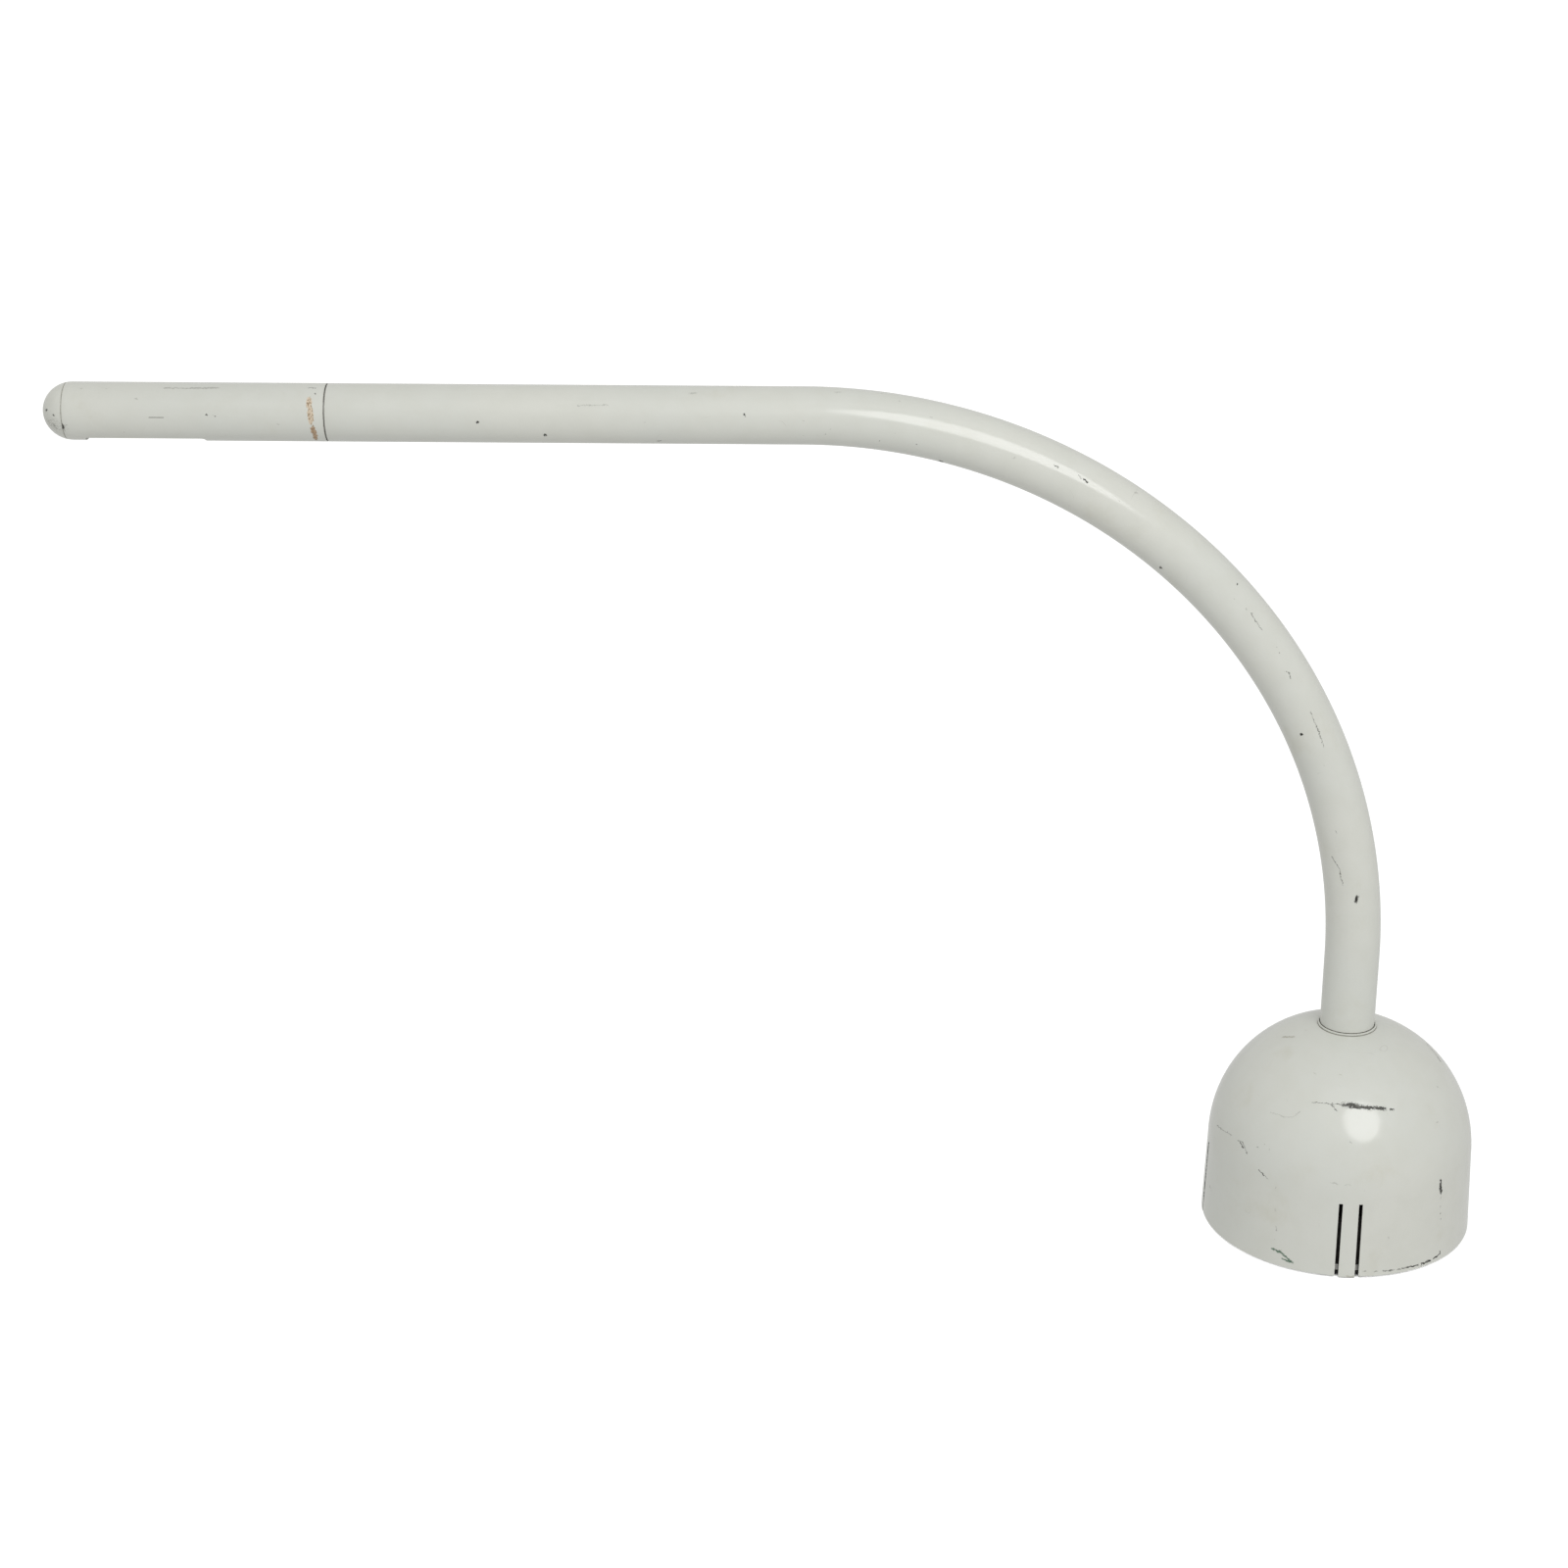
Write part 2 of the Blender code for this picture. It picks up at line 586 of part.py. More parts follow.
def make_arm_tube(finishes, frame):
    """The bent steel tube, from its foot inside the base to the head joint."""
    rise = ARM_HEIGHT - BEND_RADIUS
    bend_end = rise + BEND_RADIUS * QUARTER
    end = bend_end - JOINT_X - BEND_RADIUS - SEAM / 2
    distances = [ARM_FOOT]
    distances += [rise + BEND_RADIUS * QUARTER * step / BEND_STEPS for step in range(BEND_STEPS + 1)]
    distances.append(end)
    stations = [arm_station(distance) for distance in distances]
    outer_circle = circle(TUBE_RADIUS, TUBE_SIDES)
    inner_circle = circle(TUBE_RADIUS - TUBE_WALL, TUBE_SIDES)
    outer = [[station @ point for point in outer_circle] for station in stations]
    inner = [[station @ point for point in inner_circle] for station in stations]
    mesh = skinned_mesh("arm_tube", outer + inner[::-1], capped=False)
    return add_object("arm_tube", mesh, finishes["enamel"], frame)


def make_arm_bearings(finishes, frame, tube):
    """The two nylon bushes and the screw that runs in the post's groove."""
    flange = TUBE_RADIUS - CLEAR
    outline = [(BUSH_BORE, LOWER_BUSH_TOP), (BUSH_RADIUS, LOWER_BUSH_TOP), (BUSH_RADIUS, BUSH_FLANGE_TOP)]
    outline += [(flange, BUSH_FLANGE_TOP), (flange, BUSH_FLANGE_BOTTOM), (BUSH_BORE, BUSH_FLANGE_BOTTOM)]
    add_object("lower_bush", turned_mesh("lower_bush", outline, TUBE_SIDES), finishes["nylon"], frame)
    low, high = UPPER_BUSH
    outline = [(BUSH_BORE, high), (BUSH_RADIUS, high), (BUSH_RADIUS, low), (BUSH_BORE, low)]
    add_object("upper_bush", turned_mesh("upper_bush", outline, TUBE_SIDES), finishes["nylon"], frame)
    middle = sum(SPIGOT_GROOVE) / 2
    length = TUBE_RADIUS - SPIGOT_GROOVE_RADIUS - 2 * CLEAR
    start = (TUBE_RADIUS - REACH / 2, 0.0, middle)
    drill(tube, "stop_screw_hole", frame, ARM_SCREW_RADIUS + CLEAR, start, (1.0, 0.0, 0.0), REACH)
    mesh = set_screw_mesh("arm_stop_screw", length, ARM_SCREW_RADIUS)
    spot = (TUBE_RADIUS - CLEAR, 0.0, middle)
    add_object("arm_stop_screw", mesh, finishes["zinc"], frame, spot, (0.0, QUARTER, 0.0))


def make_arm_lead(finishes, frame):
    """The lead through the arm: on the axis at both swivels, along the bend's inner side between them."""
    end = ARM_HEIGHT - BEND_RADIUS + BEND_RADIUS * QUARTER - JOINT_X - BEND_RADIUS - CLEAR
    start = LEAD_SPLIT + CLEAR
    axis_end = end - COUPLER_HALF
    steps = 56
    points = []
    for step in range(steps + 1):
        distance = start + (end - start) * step / steps
        share = min((distance - start) / LEAD_BLEND, (axis_end - distance) / LEAD_BLEND, 1.0)
        ease = (1 - math.cos(math.pi * max(share, 0.0))) / 2
        points.append(arm_station(distance) @ Vector((-LEAD_OFFSET * ease, 0.0, 0.0)))
    lead("arm_lead", points, LEAD_RADIUS, finishes["sheath"], frame)


def drill_back(target, frame, radius, distance):
    """Cut a screw's hole through the tube's far side, and what lies just inside it."""
    start = (0.0, TUBE_RADIUS - REACH / 2, distance)
    drill(target, "screw_hole", frame, radius, start, (0.0, 1.0, 0.0), REACH)


def ring_mesh(name, inner, low, high):
    """A rubber ring that fills a groove and rises to the head's bore in the middle."""
    crown = HEAD_BORE - CLEAR
    shoulder = crown - 0.0002
    outline = [(inner, high), (shoulder, high), (crown, (low + high) / 2), (shoulder, low), (inner, low)]
    return turned_mesh(name, outline, TUBE_SIDES)


def make_coupler(finishes, frame, tube):
    """The sleeve that is fixed in the arm's end and that the head turns on."""
    edge = 0.001
    outline = [(COUPLER_BORE, COUPLER_HALF), (COUPLER_RADIUS - edge, COUPLER_HALF)]
    outline.append((COUPLER_RADIUS, COUPLER_HALF - edge))
    grooves = ((RETAINING_GROOVE, RETAINING_GROOVE_RADIUS), (FRICTION_GROOVE, FRICTION_GROOVE_RADIUS))
    for (low, high), floor in grooves:
        outline += [(COUPLER_RADIUS, high), (floor, high), (floor, low), (COUPLER_RADIUS, low)]
    outline += [(COUPLER_RADIUS, -COUPLER_HALF), (COUPLER_BORE, -COUPLER_HALF)]
    mesh = turned_mesh("head_coupler", outline, TUBE_SIDES)
    coupler = add_object("head_coupler", mesh, finishes["steel"], frame)
    mesh = set_screw_mesh("coupler_screw", ARM_SCREW_LENGTH, ARM_SCREW_RADIUS)
    for place, distance in enumerate(COUPLER_SCREW_PLACES):
        for target in (tube, coupler):
            drill_back(target, frame, ARM_SCREW_RADIUS + CLEAR, distance)
        spot = (0.0, TUBE_RADIUS - CLEAR, distance)
        add_object(f"coupler_screw_{place + 1}", mesh, finishes["zinc"], frame, spot, (-QUARTER, 0.0, 0.0))
    low, high = FRICTION_GROOVE
    ring = ring_mesh("friction_ring", FRICTION_GROOVE_RADIUS + CLEAR, low + CLEAR, high - CLEAR)
    add_object("friction_ring", ring, finishes["rubber"], frame)
    low, high = RETAINING_GROOVE
    radii = (RETAINING_GROOVE_RADIUS + CLEAR, COUPLER_RADIUS - CLEAR / 2)
    start = -QUARTER - STOP_HALF_ANGLE
    key = sector_mesh("coupler_stop_key", radii, (low + CLEAR, high - CLEAR), start, 2 * STOP_HALF_ANGLE, 4)
    add_object("coupler_stop_key", key, finishes["steel"], frame)
    bore = LEAD_RADIUS + 2 * CLEAR
    rim = COUPLER_BORE - CLEAR
    low, high = CABLE_GUIDE
    outline = [(bore, high), (rim, high), (rim, low), (bore, low)]
    guide = turned_mesh("coupler_cable_guide", outline, TUBE_SIDES)
    add_object("coupler_cable_guide", guide, finishes["nylon"], frame)


def end_radius_at(distance, radius=TUBE_RADIUS, length=HEAD_LENGTH - END_CENTRE):
    """Radius of the head's rounded end at a distance from the joint."""
    share = max(distance - END_CENTRE, 0.0) / length
    return radius * math.sqrt(max(1.0 - share * share, 0.0))


def make_light_slot_mesh():
    """Cutter for the light's opening: a rounded rectangle pushed through the tube's underside."""
    corners = [(SLOT_START, -1), (SLOT_END, -1), (SLOT_END, 1), (SLOT_START, 1)]
    middle = (SLOT_START + SLOT_END) / 2
    corner_steps = 4
    outline = []
    for corner, (distance, side) in enumerate(corners):
        centre_distance = distance + math.copysign(SLOT_CORNER, middle - distance)
        centre_side = side * (SLOT_HALF_WIDTH - SLOT_CORNER)
        for step in range(corner_steps + 1):
            angle = math.pi + QUARTER * (corner + step / corner_steps)
            side_place = centre_side + SLOT_CORNER * math.sin(angle)
            outline.append((side_place, centre_distance + SLOT_CORNER * math.cos(angle)))
    rings = [[(x, y, z) for y, z in outline] for x in (-1.5 * TUBE_RADIUS, -0.4 * TUBE_RADIUS)]
    return skinned_mesh("light_slot", rings, capped=True)


def make_head_tube(finishes, frame):
    """The lamp head's tube: rounded at the cap end, open underneath."""
    end = CAP_SEAM - CLEAR / 2
    rounding = [END_CENTRE + (end - END_CENTRE) * step / 3 for step in (3, 2, 1, 0)]
    outline = [(HEAD_BORE, end)]
    outline += [(end_radius_at(distance), distance) for distance in rounding]
    outline += [(TUBE_RADIUS, SEAM / 2), (HEAD_BORE, SEAM / 2)]
    tube = add_object("head_tube", turned_mesh("head_tube", outline, TUBE_SIDES), finishes["enamel"], frame)
    apply_tool(tube, "DIFFERENCE", make_light_slot_mesh(), frame)
    middle = sum(RETAINING_GROOVE) / 2
    length = TUBE_RADIUS - RETAINING_GROOVE_RADIUS - 2 * CLEAR
    mesh = set_screw_mesh("head_retaining_screw", length, HEAD_SCREW_RADIUS)
    drill_back(tube, frame, HEAD_SCREW_RADIUS + CLEAR, middle)
    spot = (0.0, TUBE_RADIUS - CLEAR, middle)
    add_object("head_retaining_screw", mesh, finishes["zinc"], frame, spot, (-QUARTER, 0.0, 0.0))
    return tube


def make_reflector(finishes, frame):
    """The polished liner that springs against the tube's wall, open below."""
    outer = HEAD_BORE - CLEAR
    steps = 24
    first = math.pi + REFLECTOR_OPENING
    sweep = 2 * math.pi - 2 * REFLECTOR_OPENING
    angles = [first + sweep * step / steps for step in range(steps + 1)]
    section = [(outer * math.cos(angle), outer * math.sin(angle)) for angle in angles]
    inner = outer - REFLECTOR_WALL
    section += [(inner * math.cos(angle), inner * math.sin(angle)) for angle in reversed(angles)]
    ends = (SLOT_START - REFLECTOR_OVERLAP, CAP_SKIRT_START - REFLECTOR_CAP_GAP)
    rings = [[(x, y, z) for x, y in section] for z in ends]
    add_object("reflector", skinned_mesh("reflector", rings, capped=True), finishes["aluminium"], frame)


def make_carrier(finishes, frame, tube):
    """The cup across the tube that holds the lampholder, with its screw, hollow nipple and nut."""
    plate_end = CARRIER_START + CARRIER_PLATE
    rim = HEAD_BORE - CLEAR
    inside = rim - CARRIER_WALL
    hole = NIPPLE_RADIUS + CLEAR
    outline = [(inside, CARRIER_END), (rim, CARRIER_END), (rim, CARRIER_START), (hole, CARRIER_START)]
    outline += [(hole, plate_end), (inside, plate_end)]
    mesh = turned_mesh("lampholder_carrier", outline, TUBE_SIDES)
    carrier = add_object("lampholder_carrier", mesh, finishes["zinc"], frame)
    for target in (tube, carrier):
        drill_back(target, frame, HEAD_SCREW_RADIUS + CLEAR, CARRIER_SCREW_PLACE)
    mesh = set_screw_mesh("carrier_screw", HEAD_SCREW_LENGTH, HEAD_SCREW_RADIUS)
    spot = (0.0, TUBE_RADIUS - CLEAR, CARRIER_SCREW_PLACE)
    add_object("carrier_screw", mesh, finishes["zinc"], frame, spot, (-QUARTER, 0.0, 0.0))
    bore = LEAD_RADIUS + 3 * CLEAR
    low, high = NIPPLE
    outline = [(bore, high), (NIPPLE_RADIUS, high), (NIPPLE_RADIUS, low), (bore, low)]
    add_object("nipple", turned_mesh("nipple", outline, SMALL_SIDES), finishes["zinc"], frame)
    high = CARRIER_START - CLEAR
    low = high - NUT_HEIGHT
    flats = [[point + Vector((0.0, 0.0, z)) for point in circle(NUT_RADIUS, 6)] for z in (low, high)]
    nut = add_object("nipple_nut", skinned_mesh("nipple_nut", flats, capped=True), finishes["zinc"], frame)
    drill(nut, "nut_hole", frame, hole, (0.0, 0.0, low - NUT_HEIGHT), (0.0, 0.0, 1.0), 3 * NUT_HEIGHT)


def make_lampholder(finishes, frame):
    """The screw-in holder: its body, its porcelain insert, its middle contact and its shell."""
    foot = CARRIER_START + CARRIER_PLATE + CLEAR
    floor = foot + HOLDER_FLOOR
    hole = NIPPLE_RADIUS + CLEAR
    edge = 0.001
    outline = [(HOLDER_BORE, HOLDER_END), (HOLDER_RADIUS, HOLDER_END)]
    outline += [(HOLDER_RADIUS, INSERT_START + 2 * edge), (HOLDER_WAIST_RADIUS, INSERT_START - edge)]
    outline.append((HOLDER_WAIST_RADIUS, foot + edge))
    outline += [(HOLDER_WAIST_RADIUS - edge, foot), (hole, foot), (hole, floor), (HOLDER_WAIST_BORE, floor)]
    outline += [(HOLDER_WAIST_BORE, INSERT_START - 1.5 * edge), (HOLDER_BORE, INSERT_START - edge / 2)]
    mesh = turned_mesh("lampholder_body", outline, BULB_SIDES)
    add_object("lampholder_body", mesh, finishes["bakelite"], frame)
    hole = CONTACT_PIN_RADIUS + CLEAR
    disc = HOLDER_BORE - CLEAR
    outline = [(hole, INSERT_END), (disc, INSERT_END), (disc, INSERT_START), (hole, INSERT_START)]
    mesh = turned_mesh("lampholder_insert", outline, BULB_SIDES)
    add_object("lampholder_insert", mesh, finishes["porcelain"], frame)
    seat = INSERT_END + CLEAR
    top = INSERT_END + CONTACT_HEIGHT
    pin_end = INSERT_START + 0.0005
    outline = [(0.0, top), (CONTACT_RADIUS * 2 / 3, top - CLEAR), (CONTACT_RADIUS, seat)]
    outline += [(CONTACT_PIN_RADIUS, seat), (CONTACT_PIN_RADIUS, pin_end), (0.0, pin_end)]
    contact = turned_mesh("lampholder_contact", outline, SMALL_SIDES)
    add_object("lampholder_contact", contact, finishes["brass"], frame)
    end = HOLDER_END - 0.003
    outline = [(SHELL_BORE, end), (SHELL_RADIUS + SHELL_LIP, end), (SHELL_RADIUS, end - edge)]
    outline += [(SHELL_RADIUS, seat), (SHELL_BORE, seat)]
    shell = turned_mesh("lampholder_shell", outline, BULB_SIDES)
    add_object("lampholder_shell", shell, finishes["brass"], frame)


def make_bulb(finishes, frame):
    """The tubular bulb: contact, insulator, threaded cap, glass, stem and filament."""
    tip = INSERT_END + CONTACT_HEIGHT + CLEAR
    seat = tip + CONTACT_HEIGHT
    outline = [(0.0, seat), (CONTACT_RADIUS, seat), (CONTACT_RADIUS - 0.001, tip), (0.0, tip)]
    add_object("bulb_contact", turned_mesh("bulb_contact", outline, SMALL_SIDES), finishes["brass"], frame)
    low = seat + CLEAR
    high = BULB_CAP_START - CLEAR
    outline = [(0.0, high), (BULB_FOOT_RADIUS, high), (CONTACT_RADIUS + 0.001, low), (0.0, low)]
    turned = (("bulb_insulator", outline, "bakelite"), ("bulb_cap", bulb_cap_outline(), "brass"))
    turned += (("bulb_glass", glass_outline(), "glass"),)
    for name, profile, finish_name in turned:
        add_object(name, turned_mesh(name, profile, BULB_SIDES), finishes[finish_name], frame)
    flare = GLASS_START + 0.0025
    waist = GLASS_START + STEM_LENGTH / 2
    tip = GLASS_START + STEM_LENGTH
    outline = [(0.0, tip), (STEM_TIP_RADIUS, tip), (STEM_RADIUS, waist), (STEM_FOOT_RADIUS, flare)]
    outline += [(STEM_FOOT_RADIUS, GLASS_START), (0.0, GLASS_START)]
    add_object("bulb_stem", turned_mesh("bulb_stem", outline, SMALL_SIDES), finishes["glass"], frame)
    foot = tip + CLEAR + FILAMENT_RADIUS
    length = FILAMENT_END - foot
    sides = [(0.25, 0.0), (0.5, 0.10), (1.0, 0.20), (1.0, 0.86), (0.57, 0.96)]
    half = [(FILAMENT_HALF_WIDTH * side, foot + length * share) for side, share in sides]
    loop = half + [(0.0, FILAMENT_END)] + [(-side, distance) for side, distance in reversed(half)]
    points = [(0.0, side, distance) for side, distance in loop]
    lead("filament", points, FILAMENT_RADIUS, finishes["tungsten"], frame, resolution=0)


def bulb_cap_outline():
    """Outside of the bulb's cap with its turned thread, and back along the inside."""
    start = BULB_CAP_START + 0.001
    outline = [(0.0, BULB_CAP_START), (BULB_FOOT_RADIUS, BULB_CAP_START)]
    for turn in range(BULB_THREAD_TURNS):
        root = start + turn * BULB_THREAD_PITCH
        outline += [(BULB_THREAD_ROOT, root), (BULB_THREAD_CREST, root + BULB_THREAD_PITCH / 2)]
    outline.append((BULB_THREAD_ROOT, start + BULB_THREAD_TURNS * BULB_THREAD_PITCH))
    bore = BULB_NECK_RADIUS + CLEAR
    inside = BULB_THREAD_ROOT - 0.0008
    floor = BULB_CAP_START + BULB_CAP_WALL
    outline += [(bore + 0.0004, BULB_CAP_END), (bore, BULB_CAP_END), (inside, BULB_CAP_END - 0.006)]
    outline += [(inside, floor), (0.0, floor)]
    return outline


def glass_outline():
    """Outside of the bulb from its neck to its tip, and back along the inside."""
    round_centre = BULB_TIP - BULB_RADIUS
    steps = 5

    def side(inset):
        neck = BULB_NECK_RADIUS - inset
        radius = BULB_RADIUS - inset
        points = [(neck, GLASS_START), (neck, BULB_CAP_END + 0.003), (radius - 0.0006, BULB_SHOULDER)]
        for step in range(steps):
            angle = QUARTER * step / steps
            points.append((radius * math.cos(angle), round_centre + radius * math.sin(angle)))
        return points + [(0.0, BULB_TIP - inset)]

    return side(0.0)[::-1] + side(GLASS_WALL)


def make_head_wiring(finishes, frame):
    """The lead through the head joint and its two cores in the holder."""
    sheath_end = CARRIER_SCREW_PLACE
    lead("head_lead", [(0.0, 0.0, CLEAR), (0.0, 0.0, sheath_end)], LEAD_RADIUS, finishes["sheath"], frame)
    start = sheath_end + CLEAR
    end = INSERT_START - CLEAR
    spread = CORE_HOLDER_SPREAD * 0.73
    for name, side in (("live", 1), ("neutral", -1)):
        points = [(0.0, side * CORE_SPREAD, start), (0.0, side * CORE_SPREAD, NIPPLE[1] + CLEAR)]
        points += [(0.0, side * spread, end - 0.0037), (0.0, side * CORE_HOLDER_SPREAD, end)]
        lead(f"lead_core_{name}", points, CORE_RADIUS, finishes[name], frame, resolution=1)


def make_end_cap(finishes, frame):
    """The plug in the head's far end, pulled off to change the bulb, and the ring that grips the tube."""
    seam = CAP_SEAM + CLEAR / 2
    groove_low, groove_high = CAP_GROOVE
    steps = 6
    length = HEAD_LENGTH - END_CENTRE
    start_angle = math.asin((seam - END_CENTRE) / length)
    outline = [(0.0, HEAD_LENGTH)]
    for step in range(1, steps + 1):
        angle = QUARTER + (start_angle - QUARTER) * step / steps
        outline.append((TUBE_RADIUS * math.cos(angle), END_CENTRE + length * math.sin(angle)))
    outline += [(CAP_RADIUS, seam), (CAP_RADIUS, groove_high), (CAP_GROOVE_RADIUS, groove_high)]
    outline += [(CAP_GROOVE_RADIUS, groove_low), (CAP_RADIUS, groove_low)]
    outline += [(CAP_RADIUS, CAP_SKIRT_START), (CAP_BORE, CAP_SKIRT_START)]
    length -= CAP_WALL
    for step in range(1, steps):
        angle = QUARTER * step / steps
        outline.append((CAP_BORE * math.cos(angle), END_CENTRE + length * math.sin(angle)))
    outline.append((0.0, END_CENTRE + length))
    add_object("end_cap", turned_mesh("end_cap", outline, TUBE_SIDES), finishes["enamel"], frame)
    ring = ring_mesh("cap_o_ring", CAP_GROOVE_RADIUS + CLEAR, groove_low + CLEAR, groove_high - CLEAR)
    add_object("cap_o_ring", ring, finishes["rubber"], frame)


def main():
    clear_scene()
    finishes = make_finishes()
    base = make_frame("base_frame", (0.0, 0.0, 0.0), (0.0, 0.0, BASE_TURN))
    arm = make_frame("arm_axis", (0.0, 0.0, 0.0))
    towards_tip = (0.0, -QUARTER, 0.0)
    joint = (JOINT_X, 0.0, ARM_HEIGHT)
    arm_end = make_frame("arm_end", joint, towards_tip, arm)
    head = make_frame("head_axis", joint, towards_tip)
    cap = make_frame("cap_axis", joint, towards_tip)
    make_base_shell(finishes, base)
    make_cable_grommet(finishes, base)
    make_neck_ring(finishes, base)
    ballast = make_base_stack(finishes, base)
    make_stem_spigot(finishes, base, ballast)
    make_base_wiring(finishes, base)
    arm_tube = make_arm_tube(finishes, arm)
    make_arm_bearings(finishes, arm, arm_tube)
    make_arm_lead(finishes, arm)
    make_coupler(finishes, arm_end, arm_tube)
    head_tube = make_head_tube(finishes, head)
    make_reflector(finishes, head)
    make_carrier(finishes, head, head_tube)
    make_lampholder(finishes, head)
    make_bulb(finishes, head)
    make_head_wiring(finishes, head)
    make_end_cap(finishes, cap)


main()
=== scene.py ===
"""Looks of the arc floor lamp: worn off-white enamel on a dome base, a bent tube arm and a tubular head.

Metres and +Z up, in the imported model's frame. The arm reaches out along -X and the camera looks along +Y.
"""
import json
import math

import bmesh
import bpy
from mathutils import Matrix, Vector


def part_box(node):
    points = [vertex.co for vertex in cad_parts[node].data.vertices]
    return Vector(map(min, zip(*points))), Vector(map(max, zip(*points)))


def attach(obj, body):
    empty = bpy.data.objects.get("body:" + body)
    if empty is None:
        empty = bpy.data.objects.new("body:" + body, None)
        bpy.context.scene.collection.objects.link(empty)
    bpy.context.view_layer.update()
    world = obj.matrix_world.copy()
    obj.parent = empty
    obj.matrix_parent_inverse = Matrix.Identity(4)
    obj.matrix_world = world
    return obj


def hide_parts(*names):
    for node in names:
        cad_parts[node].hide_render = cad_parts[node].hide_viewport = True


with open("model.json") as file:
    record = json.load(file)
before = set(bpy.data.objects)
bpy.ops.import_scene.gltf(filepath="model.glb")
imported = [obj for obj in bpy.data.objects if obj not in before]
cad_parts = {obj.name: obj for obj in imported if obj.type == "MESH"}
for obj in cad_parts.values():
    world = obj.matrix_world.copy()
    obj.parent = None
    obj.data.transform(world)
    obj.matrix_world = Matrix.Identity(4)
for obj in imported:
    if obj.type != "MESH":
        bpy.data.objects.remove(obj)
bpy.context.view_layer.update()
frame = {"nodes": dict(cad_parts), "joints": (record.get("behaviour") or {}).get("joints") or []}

MM = 0.001
QUARTER = math.pi / 2

# The lamp's sizes, as in the CAD
TUBE_RADIUS = 0.03
TUBE_WALL = 0.0015
BEND_RADIUS = 0.604
SEAM = 0.0008
CLEAR = 0.0003
BASE_TURN = math.radians(-3.28)
BASE_RADIUS = 0.15
WALL_TOP_RADIUS = 0.147
WALL_TOP = 0.09
DOME_HEIGHT = 0.149
DOME_EXPONENT = 2.05
SHELL_WALL = 0.002
SKIRT_BOTTOM = 0.002
TONGUE_BOTTOM = 0.0008
SLOT_TOP = 0.0889
SLOT_INNER = 0.00895
SLOT_OUTER = 0.01315
NECK_HOLE_RADIUS = 0.0317
INLET_HEIGHT = 0.03
INLET_AZIMUTH = math.radians(97) - BASE_TURN
INLET_HOLE_RADIUS = 0.0068
INLET_BORE_RADIUS = 0.005
HEAD_LENGTH = 0.294
END_CENTRE = 0.263
CAP_SEAM = 0.269
CAP_SKIRT_START = 0.255
LIGHT_SLOT = (0.1259, 0.2502)
LIGHT_SLOT_HALF_WIDTH = 0.0172
LIGHT_SLOT_CORNER = 0.004

# Edges blunter than this are shaded smooth; facets round the visible pieces
SMOOTH_BELOW = math.radians(35)
TUBE_SIDES = 96
BASE_SIDES = 192
SMALL_SIDES = 40

# The room's light: an even level, and (direction, strength) of broad swells in it
SURROUND_LEVEL = 0.45
WHITE_LEVEL = 1.12
WHITE = (1, 1, 0.99, 1)
SURROUND_SWELLS = [((0, -1, 0), 0.17), ((0, 1, 0), 0.214), ((-1, 0, 0), 0.263)]

# The two oval lights
LIGHT_AZIMUTH = 14
LIGHT_DISTANCE = 4.5
LIGHT_AIM_HEIGHT = 0.17

# How deep a mark reaches at least, and how long it has to be, against its width, to have round ends
STROKE_DEPTH = 0.004
OVAL_BELOW = 3

joints = {joint["name"]: joint for joint in frame["joints"]}
HEAD_JOINT = Vector(joints["head_swivel"]["pos_m"])
ARM_HEIGHT = HEAD_JOINT.z
RISE = ARM_HEIGHT - BEND_RADIUS
RUN = -HEAD_JOINT.x - BEND_RADIUS
BASE_FRAME = Matrix.Rotation(BASE_TURN, 4, "Z")
HEAD_FRAME = Matrix.Translation(HEAD_JOINT) @ Matrix.Rotation(-QUARTER, 4, "Y")


# ---- places on the surfaces

def tube_place(along_mm, round_from_top):
    """A point on the arm or head and its axes: along the tube, round it, and outward.

    along_mm runs from the head joint towards the base and is negative on the head; the angle in degrees
    runs from the top, or from the bend's outer side, towards the camera.
    """
    along = along_mm * MM
    bend = BEND_RADIUS * QUARTER
    turn = min(max(along - RUN, 0), bend) / BEND_RADIUS
    drop = max(along - RUN - bend, 0)
    centre = Vector((HEAD_JOINT.x + min(along, RUN), 0, ARM_HEIGHT))
    centre += Vector((math.sin(turn), 0, math.cos(turn) - 1)) * BEND_RADIUS
    centre.z -= drop
    outer = Vector((math.sin(turn), 0, math.cos(turn)))
    forward = Vector((math.cos(turn), 0, -math.sin(turn)))
    front = Vector((0, -1, 0))
    angle = math.radians(round_from_top)
    outward = outer * math.cos(angle) + front * math.sin(angle)
    radius = end_radius_at(-along)
    return centre + outward * radius, forward, outward.cross(forward), outward


def end_radius_at(distance):
    """Radius of the head's rounded end at a distance from the joint."""
    share = max(distance - END_CENTRE, 0) / (HEAD_LENGTH - END_CENTRE)
    return TUBE_RADIUS * math.sqrt(max(1 - share * share, 0))


def dome_radius_at(height):
    """Outside radius of the base at a height."""
    if height < WALL_TOP:
        return BASE_RADIUS + (WALL_TOP_RADIUS - BASE_RADIUS) * height / WALL_TOP
    share = min((height - WALL_TOP) / DOME_HEIGHT, 1)
    return WALL_TOP_RADIUS * (1 - share ** DOME_EXPONENT) ** (1 / DOME_EXPONENT)


def dome_place(azimuth, height_mm):
    """A point on the base and its axes: round it, up it, and outward. Azimuth 0 faces the camera."""
    height = height_mm * MM
    angle = math.radians(azimuth)
    across = Vector((math.cos(angle), math.sin(angle), 0))
    reach = Vector((math.sin(angle), -math.cos(angle), 0))
    step = 0.0005
    slope = dome_radius_at(height + step) - dome_radius_at(height - step)
    upward = (reach * slope + Vector((0, 0, 2 * step))).normalized()
    point = reach * dome_radius_at(height) + Vector((0, 0, height))
    return point, across, upward, across.cross(upward)


# ---- mesh helpers

